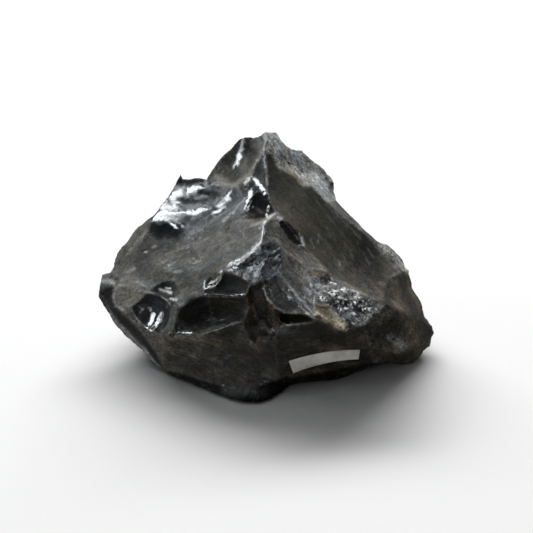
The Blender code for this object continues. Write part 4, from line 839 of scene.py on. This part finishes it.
# Ridges are rubbed pale, in patches and stretches, but not down by the floor.
wornRidge = {
    "strength": 0.75, "film": 0.6, "dull": 0.4, "tone": (0.22, 0.21, 0.18),
    "gain": 7,
    "leastRidge": 0.25,
    "patch": 5,       # mm
    "stretch": 14,
    "leastStretch": 0.15,
    "raisedBy": 8,
}


def wearRidges(mesh, skin):
    points = meshPoints(mesh)
    ridge = np.clip(standOut(mesh) * wornRidge["gain"] - wornRidge["leastRidge"], 0, 1)
    patchy = np.clip(noiseAt(points, wornRidge["patch"] * mm, 3, 6.0) * 1.3 + 0.6, 0, 1)
    stretches = noiseAt(points, wornRidge["stretch"] * mm, 2, 11.0) * 2.4 + 0.75
    stretches = np.clip(stretches, wornRidge["leastStretch"], 1)
    raised = np.clip(points[:, 2] / (wornRidge["raisedBy"] * mm) - 0.6, 0, 1)
    worn = ridge * patchy * stretches * raised * wornRidge["strength"]
    skin["film"] += worn * (wornRidge["film"] - skin["film"])
    skin["dull"] += worn * (wornRidge["dull"] - skin["dull"])
    skin["tone"] += worn[:, None] * (np.array(wornRidge["tone"]) - skin["tone"])


# Little flat facets, each tipped its own way, as crushed glass breaks.
def splinters(points, pitch, seed):
    low, high = points.min(axis=0), points.max(axis=0)
    rungs = [np.arange(a, b + pitch, pitch) for a, b in zip(low, high)]
    middles = np.stack(np.meshgrid(*rungs, indexing="ij"), axis=-1).reshape(-1, 3)
    chance = np.random.default_rng(seed)
    middles = middles + chance.uniform(-0.5, 0.5, middles.shape) * pitch
    tips = chance.uniform(-1, 1, middles.shape)
    steps = chance.uniform(-1, 1, len(middles))
    tree = KDTree(len(middles))
    for index, middle in enumerate(middles):
        tree.insert(middle, index)
    tree.balance()
    nearest = np.array([tree.find(Vector(p))[1] for p in points])
    tilt = np.einsum("ij,ij->i", tips[nearest], points - middles[nearest])
    return tilt / mm, steps[nearest]


def crushedHeight(points):
    pitch = stoneShape["splinterPitch"]
    tilt, step = splinters(points, pitch * mm, 3)
    coarseTilt, coarseStep = splinters(points, stoneShape["coarser"] * pitch * mm, 5)
    height = stoneShape["splinterTilt"] * (tilt + 0.5 * coarseTilt)
    return height + stoneShape["splinterStep"] * (step + coarseStep - 1.0)


# Waves, ripples, grain, splinters and chipped ridges, along each point's own normal.
def breakSurface(mesh, skin):
    shape, points, normals = stoneShape, meshPoints(mesh), meshNormals(mesh)
    waves = noiseAt(points * np.array(shape["waveStretch"]), shape["waveLength"] * mm, 2, 1.0)
    rings = np.linalg.norm(points - np.array(shape["rippleCentre"]), axis=1)
    ripples = np.sin(rings / (shape["rippleStep"] * mm) + shape["rippleBend"] * waves)
    ripples *= np.clip(noiseAt(points, shape["ripplePatch"] * mm, 1, 8.0) + 0.3, 0, 1)
    grain = noiseAt(points, shape["grainSize"] * mm, 3, 3.0)
    push = skin["wave"] * (shape["waveHeight"] * waves + shape["rippleHeight"] * ripples)
    push += shape["grainHeight"] * (shape["leastGrain"] + skin["crush"]) * grain
    push += skin["crush"] * crushedHeight(points)
    ridge = np.clip(standOut(mesh) * shape["chipGain"], 0, 1)
    chips = np.clip(noiseAt(points, shape["chipSize"] * mm, 2, 4.0) + 0.1, 0, 1)
    push -= shape["nibble"] * ridge * chips
    push[points[:, 2] < shape["resting"] * mm] = 0
    movePoints(mesh, points + normals * push[:, None] * mm)


def keepOnMesh(mesh, name, values):
    if values.ndim == 1:
        mesh.attributes.new(name, "FLOAT", "POINT").data.foreach_set("value", values.astype(np.float32))
        return
    if name == "flowPlace":
        layer = mesh.attributes.new(name, "FLOAT_VECTOR", "POINT")
        layer.data.foreach_set("vector", values.astype(np.float32).ravel())
        return
    layer = mesh.attributes.new(name, "FLOAT_COLOR", "POINT")
    colours = np.column_stack((values, np.ones(len(values))))
    layer.data.foreach_set("color", colours.astype(np.float32).ravel())


# The stone's finish. Grain, mottle, crumbs and patches are in noise cells per metre, sizes and depths in
# metres, and a swing is how far the noise moves a value.
obsidianFinish = {
    "glass": (0.0035, 0.0035, 0.0042, 1),
    "glassRoughness": 0.07,
    "ior": 1.5,
    "grain": 700,
    "grainSwing": 0.26,
    "grainBump": 0.35,
    "grainDepth": 0.0004,
    "mottle": 180,
    "mottleSwing": 0.18,
    "streakSwing": 0.5,
    "streakGain": 1.6,
    "unevenGain": 2.4,
    "glossPatch": 300,
    "shade": (0.42, 1.72),      # least and most
    "crumb": 820,
    "crumbShade": (0.5, 1.6),
    "crumbPatch": 75,
    "facetSize": 0.0011,
    "facetShade": (0.15, 2.4),
    "facetGain": 1.5,
    "facetDepth": 0.6,
    "coolDust": (0.94, 1.00, 1.04, 1),
    "warmDust": (1.08, 1.00, 0.86, 1),
    "speckGrain": 1300,
    "speck": (0.34, 0.33, 0.29, 1),
    "hackleBump": 0.6,
    "hackleDepth": 0.00025,
}
white = (1.0, 1.0, 1.0, 1)
black = (0.0, 0.0, 0.0, 1)


def newFinish(name):
    material = bpy.data.materials.new(name)
    material.use_nodes = True
    return material, material.node_tree


def feed(tree, socket, value):
    if isinstance(value, bpy.types.NodeSocket):
        tree.links.new(value, socket)
    else:
        socket.default_value = value


# One node with its inputs set or linked, by name or number.
def put(tree, kind, inputs, **settings):
    node = tree.nodes.new(kind)
    for key, value in settings.items():
        setattr(node, key, value)
    for name, value in inputs.items():
        feed(tree, node.inputs[name], value)
    return node.outputs


def carried(tree, name, output="Fac"):
    return put(tree, "ShaderNodeAttribute", {}, attribute_name=name)[output]


def objectPlace(tree, stretch=(1, 1, 1)):
    place = put(tree, "ShaderNodeTexCoord", {})["Object"]
    return put(tree, "ShaderNodeMapping", {"Vector": place, "Scale": stretch})["Vector"]


def grainOf(tree, scale, detail=4.0, roughness=0.55, stretch=(1, 1, 1)):
    inputs = {"Vector": objectPlace(tree, stretch), "Scale": scale, "Detail": detail, "Roughness": roughness}
    return put(tree, "ShaderNodeTexNoise", inputs)["Fac"]


def sums(tree, operation, a, b, clamp=False):
    return put(tree, "ShaderNodeMath", {0: a, 1: b}, operation=operation, use_clamp=clamp)["Value"]


def ranged(tree, value, low, high, least=0.0, most=1.0):
    inputs = {"Value": value, "From Min": low, "From Max": high, "To Min": least, "To Max": most}
    return put(tree, "ShaderNodeMapRange", inputs)["Result"]


def blend(tree, share, a, b, kind="MIX"):
    node = tree.nodes.new("ShaderNodeMix")
    node.data_type = "RGBA"
    node.blend_type = kind
    for name, value in (("Factor", share), ("A", a), ("B", b)):
        feed(tree, node.inputs[name], value)
    return node.outputs["Result"]


def shaded(tree, colour, shade):
    return blend(tree, 1.0, colour, shade, "MULTIPLY")


def facets(tree, size):
    return put(tree, "ShaderNodeTexVoronoi", {"Vector": objectPlace(tree), "Scale": 1 / size})


# Height of many tiny flat facets, for the glitter of crushed glass.
def facetHeight(tree):
    cells = facets(tree, obsidianFinish["facetSize"])
    away = {0: objectPlace(tree), 1: cells["Position"]}
    tip = {0: cells["Color"], 1: (0.5, 0.5, 0.5)}
    sides = [put(tree, "ShaderNodeVectorMath", pair, operation="SUBTRACT")["Vector"] for pair in (away, tip)]
    return put(tree, "ShaderNodeVectorMath", dict(enumerate(sides)), operation="DOT_PRODUCT")["Value"]


# Fine streaks that follow each scar's own flow.
def streaksOf(tree, scale, detail=6.0, roughness=0.65, shift=0.0):
    place = carried(tree, "flowPlace", "Vector")
    moved = put(tree, "ShaderNodeMapping", {"Vector": place, "Location": (shift, shift, shift)})["Vector"]
    inputs = {"Vector": moved, "Scale": scale, "Detail": detail, "Roughness": roughness}
    return put(tree, "ShaderNodeTexNoise", inputs)["Fac"]


# How much of the glass the dusty skin hides, with streaks, mottling and fine grain.
def skinCover(tree):
    look, film = obsidianFinish, carried(tree, "film")
    grain, mottle, streak = look["grainSwing"], look["mottleSwing"], look["streakSwing"]
    fine = ranged(tree, grainOf(tree, look["grain"], 5, 0.62), 0.34, 0.66, -grain, grain)
    patchy = ranged(tree, grainOf(tree, look["mottle"], 5, 0.62), 0.34, 0.66, -mottle, mottle)
    strength = sums(tree, "MULTIPLY", carried(tree, "streak"), look["streakGain"])
    streaks = ranged(tree, streaksOf(tree, 0.85), 0.3, 0.7, -streak, streak)
    streaks = sums(tree, "MULTIPLY", streaks, strength)
    uneven = sums(tree, "ADD", sums(tree, "ADD", fine, patchy), streaks)
    middle = sums(tree, "MULTIPLY", film, sums(tree, "SUBTRACT", 1.3, film))  # bare glass stays bare
    uneven = sums(tree, "MULTIPLY", uneven, sums(tree, "MULTIPLY", middle, look["unevenGain"]))
    return sums(tree, "ADD", film, uneven, clamp=True)


# The skin's colour: lighter and darker in streaks, crumbs and facets, warmer and cooler in patches.
def skinColour(tree):
    look = obsidianFinish
    shade = ranged(tree, streaksOf(tree, 1.1, 8, 0.75, 40.0), 0.32, 0.68, *look["shade"])
    skin = shaded(tree, carried(tree, "tone", "Color"), shade)
    crumbs = ranged(tree, grainOf(tree, look["crumb"], 6, 0.72), 0.36, 0.64, *look["crumbShade"])
    patches = ranged(tree, grainOf(tree, look["crumbPatch"], 3), 0.38, 0.60, 0.35, 1.0)
    skin = blend(tree, patches, skin, shaded(tree, skin, crumbs))
    cells = facets(tree, look["facetSize"] * 0.8)
    splintered = ranged(tree, cells["Color"], 0.3, 0.7, *look["facetShade"])
    share = sums(tree, "MULTIPLY", carried(tree, "crush"), look["facetGain"], clamp=True)
    skin = blend(tree, share, skin, shaded(tree, skin, splintered))
    warm = ranged(tree, streaksOf(tree, 0.35, 4, 0.6, 90.0), 0.38, 0.62)
    return shaded(tree, skin, blend(tree, warm, look["coolDust"], look["warmDust"]))


# Dust takes the gloss away, most where it is dull.
def skinGloss(tree, cover):
    dusted = sums(tree, "MULTIPLY", cover, 1.6, clamp=True)
    return blend(tree, sums(tree, "MULTIPLY", dusted, carried(tree, "dull")), white, black)


def skinRoughness(tree, cover):
    glass = obsidianFinish["glassRoughness"]
    patchy = ranged(tree, grainOf(tree, obsidianFinish["glossPatch"], 4), 0.3, 0.7, 0.75, 1.25)
    dull = sums(tree, "MULTIPLY", carried(tree, "dull"), patchy)
    dusted = sums(tree, "MULTIPLY", cover, 1.8, clamp=True)
    rougher = sums(tree, "MULTIPLY", dusted, sums(tree, "SUBTRACT", dull, glass))
    return sums(tree, "ADD", rougher, glass, clamp=True)


# Bumps on bumps: the facets of crushed glass, then hackle lines, then the grain of the dust.
def skinBumps(tree, cover):
    look = obsidianFinish
    facet = {"Height": facetHeight(tree), "Distance": look["facetDepth"], "Strength": carried(tree, "crush")}
    hackles = {"Height": streaksOf(tree, 1.3, 5, 0.6, 40.0), "Distance": look["hackleDepth"]}
    hackles["Strength"] = sums(tree, "MULTIPLY", carried(tree, "streak"), look["hackleBump"])
    grain = {"Height": grainOf(tree, look["grain"], 5, 0.6), "Distance": look["grainDepth"]}
    grain["Strength"] = sums(tree, "MULTIPLY", cover, look["grainBump"])
    hackles["Normal"] = put(tree, "ShaderNodeBump", facet)["Normal"]
    grain["Normal"] = put(tree, "ShaderNodeBump", hackles)["Normal"]
    return put(tree, "ShaderNodeBump", grain)["Normal"]


def obsidianMaterial():
    look = obsidianFinish
    material, tree = newFinish("obsidianGlass")
    shader = tree.nodes["Principled BSDF"].inputs
    cover = skinCover(tree)
    colour = blend(tree, cover, look["glass"], skinColour(tree))
    specks = ranged(tree, grainOf(tree, look["speckGrain"], 2, 0.5), 0.66, 0.74)
    specks = sums(tree, "MULTIPLY", specks, carried(tree, "speck"), clamp=True)
    feed(tree, shader["Base Color"], blend(tree, specks, colour, look["speck"]))
    feed(tree, shader["Roughness"], skinRoughness(tree, cover))
    feed(tree, shader["Specular Tint"], skinGloss(tree, cover))
    feed(tree, shader["IOR"], look["ior"])
    feed(tree, shader["Normal"], skinBumps(tree, cover))
    return material


def makeStone():
    stone = copyOfNode("obsidian_chunk", "obsidianStone")
    smoothScars(stone)
    skin = paintStone(stone.data)
    wearRidges(stone.data, skin)
    breakSurface(stone.data, skin)
    for name in ("film", "dull", "speck", "crush", "streak", "tone", "flowPlace"):
        keepOnMesh(stone.data, name, skin[name])
    stone.data.shade_smooth()
    stone.data.materials.append(obsidianMaterial())
    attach(stone, "root")
    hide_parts("obsidian_chunk")
    print("stone:", len(stone.data.polygons), "faces")
    return stone


# the paper strip
labelFinish = {
    "paper": (0.90, 0.86, 0.785, 1),
    "stain": (0.52, 0.48, 0.40, 1),
    "stainGrain": 160,
    "roughness": 0.75,
    "fibres": 2600,
    "fibreBump": 0.3,
    "fibreDepth": 0.0001,
    "lift": 0.12,       # mm off the stone, the glue
    "thickness": 0.2,
}


def paperMaterial():
    look = labelFinish
    material, tree = newFinish("labelPaper")
    shader = tree.nodes["Principled BSDF"].inputs
    mottle = ranged(tree, grainOf(tree, look["stainGrain"], 5, 0.6), 0.42, 0.75)
    feed(tree, shader["Base Color"], blend(tree, mottle, look["paper"], look["stain"]))
    feed(tree, shader["Roughness"], look["roughness"])
    bump = {"Height": grainOf(tree, look["fibres"], 4, 0.7, (1, 1, 2))}
    bump.update({"Strength": look["fibreBump"], "Distance": look["fibreDepth"]})
    feed(tree, shader["Normal"], put(tree, "ShaderNodeBump", bump)["Normal"])
    return material


# The strip is pressed onto the stone: each point keeps its side of the paper.
def makeLabel(stone):
    label = copyOfNode("paper_label", "paperStrip")
    skin = bmesh.new()
    skin.from_mesh(label.data)
    bmesh.ops.remove_doubles(skin, verts=skin.verts, dist=stoneShape["weld"])
    skin.to_mesh(label.data)
    skin.free()
    faces = [tuple(face.vertices) for face in stone.data.polygons]
    surface = BVHTree.FromPolygons([Vector(p) for p in meshPoints(stone.data)], faces)
    gaps = [surface.find_nearest(Vector(p)) for p in meshPoints(label.data)]
    middle = 0.5 * (min(gap[3] for gap in gaps) + max(gap[3] for gap in gaps))
    placed = []
    for gap in gaps:
        height = labelFinish["lift"] + (labelFinish["thickness"] if gap[3] > middle else 0)
        placed.append(gap[0] + gap[1] * height * mm)
    movePoints(label.data, np.array(placed))
    label.data.materials.append(paperMaterial())
    label.data.shade_smooth()
    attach(label, "root")
    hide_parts("paper_label")
    print("label:", len(label.data.polygons), "faces")


# Floor and light. Each panel is azimuth and elevation in degrees, distance, width and height in metres,
# and radiance. The gloss panels only show as reflections in the glass.
studio = {
    "floorWidth": 12.0,
    "floorColour": (0.95, 0.95, 0.95, 1),
    "floorRoughness": 0.9,
    "floorGloss": 0.1,
    "keyPanel": (186, 36.6, 3.0, 4.4, 0.7, 17.0),
    "hazeSun": {"azimuth": -178, "elevation": 55, "distance": 2.0, "spread": 60, "strength": 0.45},
    "glossColour": (0.90, 0.96, 1.0),
    "glossPanels": {
        "sideGloss": (-85, 27, 1.2, 0.46, 1.0, 28.0),
        "lampGloss": (-80, 60, 1.2, 0.56, 0.44, 32.0),
        "frontGloss": (-52, 48, 1.2, 0.34, 0.32, 28.0),
        "sideGlow": (-97, 45, 1.3, 1.3, 1.4, 1.0),
        "topGloss": (95, 74, 1.2, 0.22, 0.22, 14.0),
        "crestGloss": (55, 64, 1.2, 0.30, 0.30, 18.0),
    },
    "skyForEye": 1.1,
    "skyForGlass": 0.12,
    "skyForDust": 0.062,
}


def wayTo(azimuth, elevation):
    a, e = math.radians(azimuth), math.radians(elevation)
    return Vector((math.sin(a) * math.cos(e), -math.cos(a) * math.cos(e), math.sin(e)))


def addLamp(name, kind, way, distance):
    lamp = bpy.data.objects.new(name, bpy.data.lights.new(name, kind))
    bpy.context.scene.collection.objects.link(lamp)
    lamp.location = photoView["aim"] + way * distance
    lamp.rotation_euler = way.to_track_quat("Z", "Y").to_euler()
    return lamp


def addPanel(name, azimuth, elevation, distance, width, height, radiance):
    lamp = addLamp(name, "AREA", wayTo(azimuth, elevation), distance)
    lamp.data.shape = "RECTANGLE"
    lamp.data.size, lamp.data.size_y = width, height
    lamp.data.energy = radiance * math.pi * width * height
    lamp.visible_camera = False
    return lamp


def addLights():
    addPanel("keyPanel", *studio["keyPanel"])
    sun = studio["hazeSun"]
    haze = addLamp("hazeSun", "SUN", wayTo(sun["azimuth"], sun["elevation"]), sun["distance"])
    haze.data.angle = math.radians(sun["spread"])
    haze.data.energy = sun["strength"]
    haze.visible_glossy = False
    for name, panel in studio["glossPanels"].items():
        gloss = addPanel(name, *panel)
        gloss.data.color = studio["glossColour"]
        gloss.visible_diffuse = False
    print("lights:", 2 + len(studio["glossPanels"]))


# The plain sky is bright behind the stone, darker in the glass and darkest on the dust.
def addSky():
    world = bpy.data.worlds.new("studioSky")
    bpy.context.scene.world = world
    world.use_nodes = True
    nodes, links = world.node_tree.nodes, world.node_tree.links
    background = nodes["Background"]
    background.inputs["Color"].default_value = white
    ray = nodes.new("ShaderNodeLightPath")
    forGlass = nodes.new("ShaderNodeMix")
    forGlass.inputs["A"].default_value = studio["skyForDust"]
    forGlass.inputs["B"].default_value = studio["skyForGlass"]
    links.new(ray.outputs["Is Glossy Ray"], forGlass.inputs["Factor"])
    forEye = nodes.new("ShaderNodeMix")
    forEye.inputs["B"].default_value = studio["skyForEye"]
    links.new(ray.outputs["Is Camera Ray"], forEye.inputs["Factor"])
    links.new(forGlass.outputs["Result"], forEye.inputs["A"])
    links.new(forEye.outputs["Result"], background.inputs["Strength"])


def addFloor():
    half = studio["floorWidth"] / 2
    mesh = bpy.data.meshes.new("studioFloor")
    corners = [(-half, -half, 0), (half, -half, 0), (half, half, 0), (-half, half, 0)]
    mesh.from_pydata(corners, [], [(0, 1, 2, 3)])
    floor = bpy.data.objects.new("studioFloor", mesh)
    bpy.context.scene.collection.objects.link(floor)
    material, tree = newFinish("floorPaper")
    shader = tree.nodes["Principled BSDF"].inputs
    shader["Base Color"].default_value = studio["floorColour"]
    shader["Roughness"].default_value = studio["floorRoughness"]
    shader["Specular IOR Level"].default_value = studio["floorGloss"]
    mesh.materials.append(material)
    floor.visible_glossy = False
    print("floor:", studio["floorWidth"], "m wide")


addCamera()
stone = makeStone()
makeLabel(stone)
addFloor()
addLights()
addSky()
bpy.context.scene.view_settings.view_transform = "Standard"
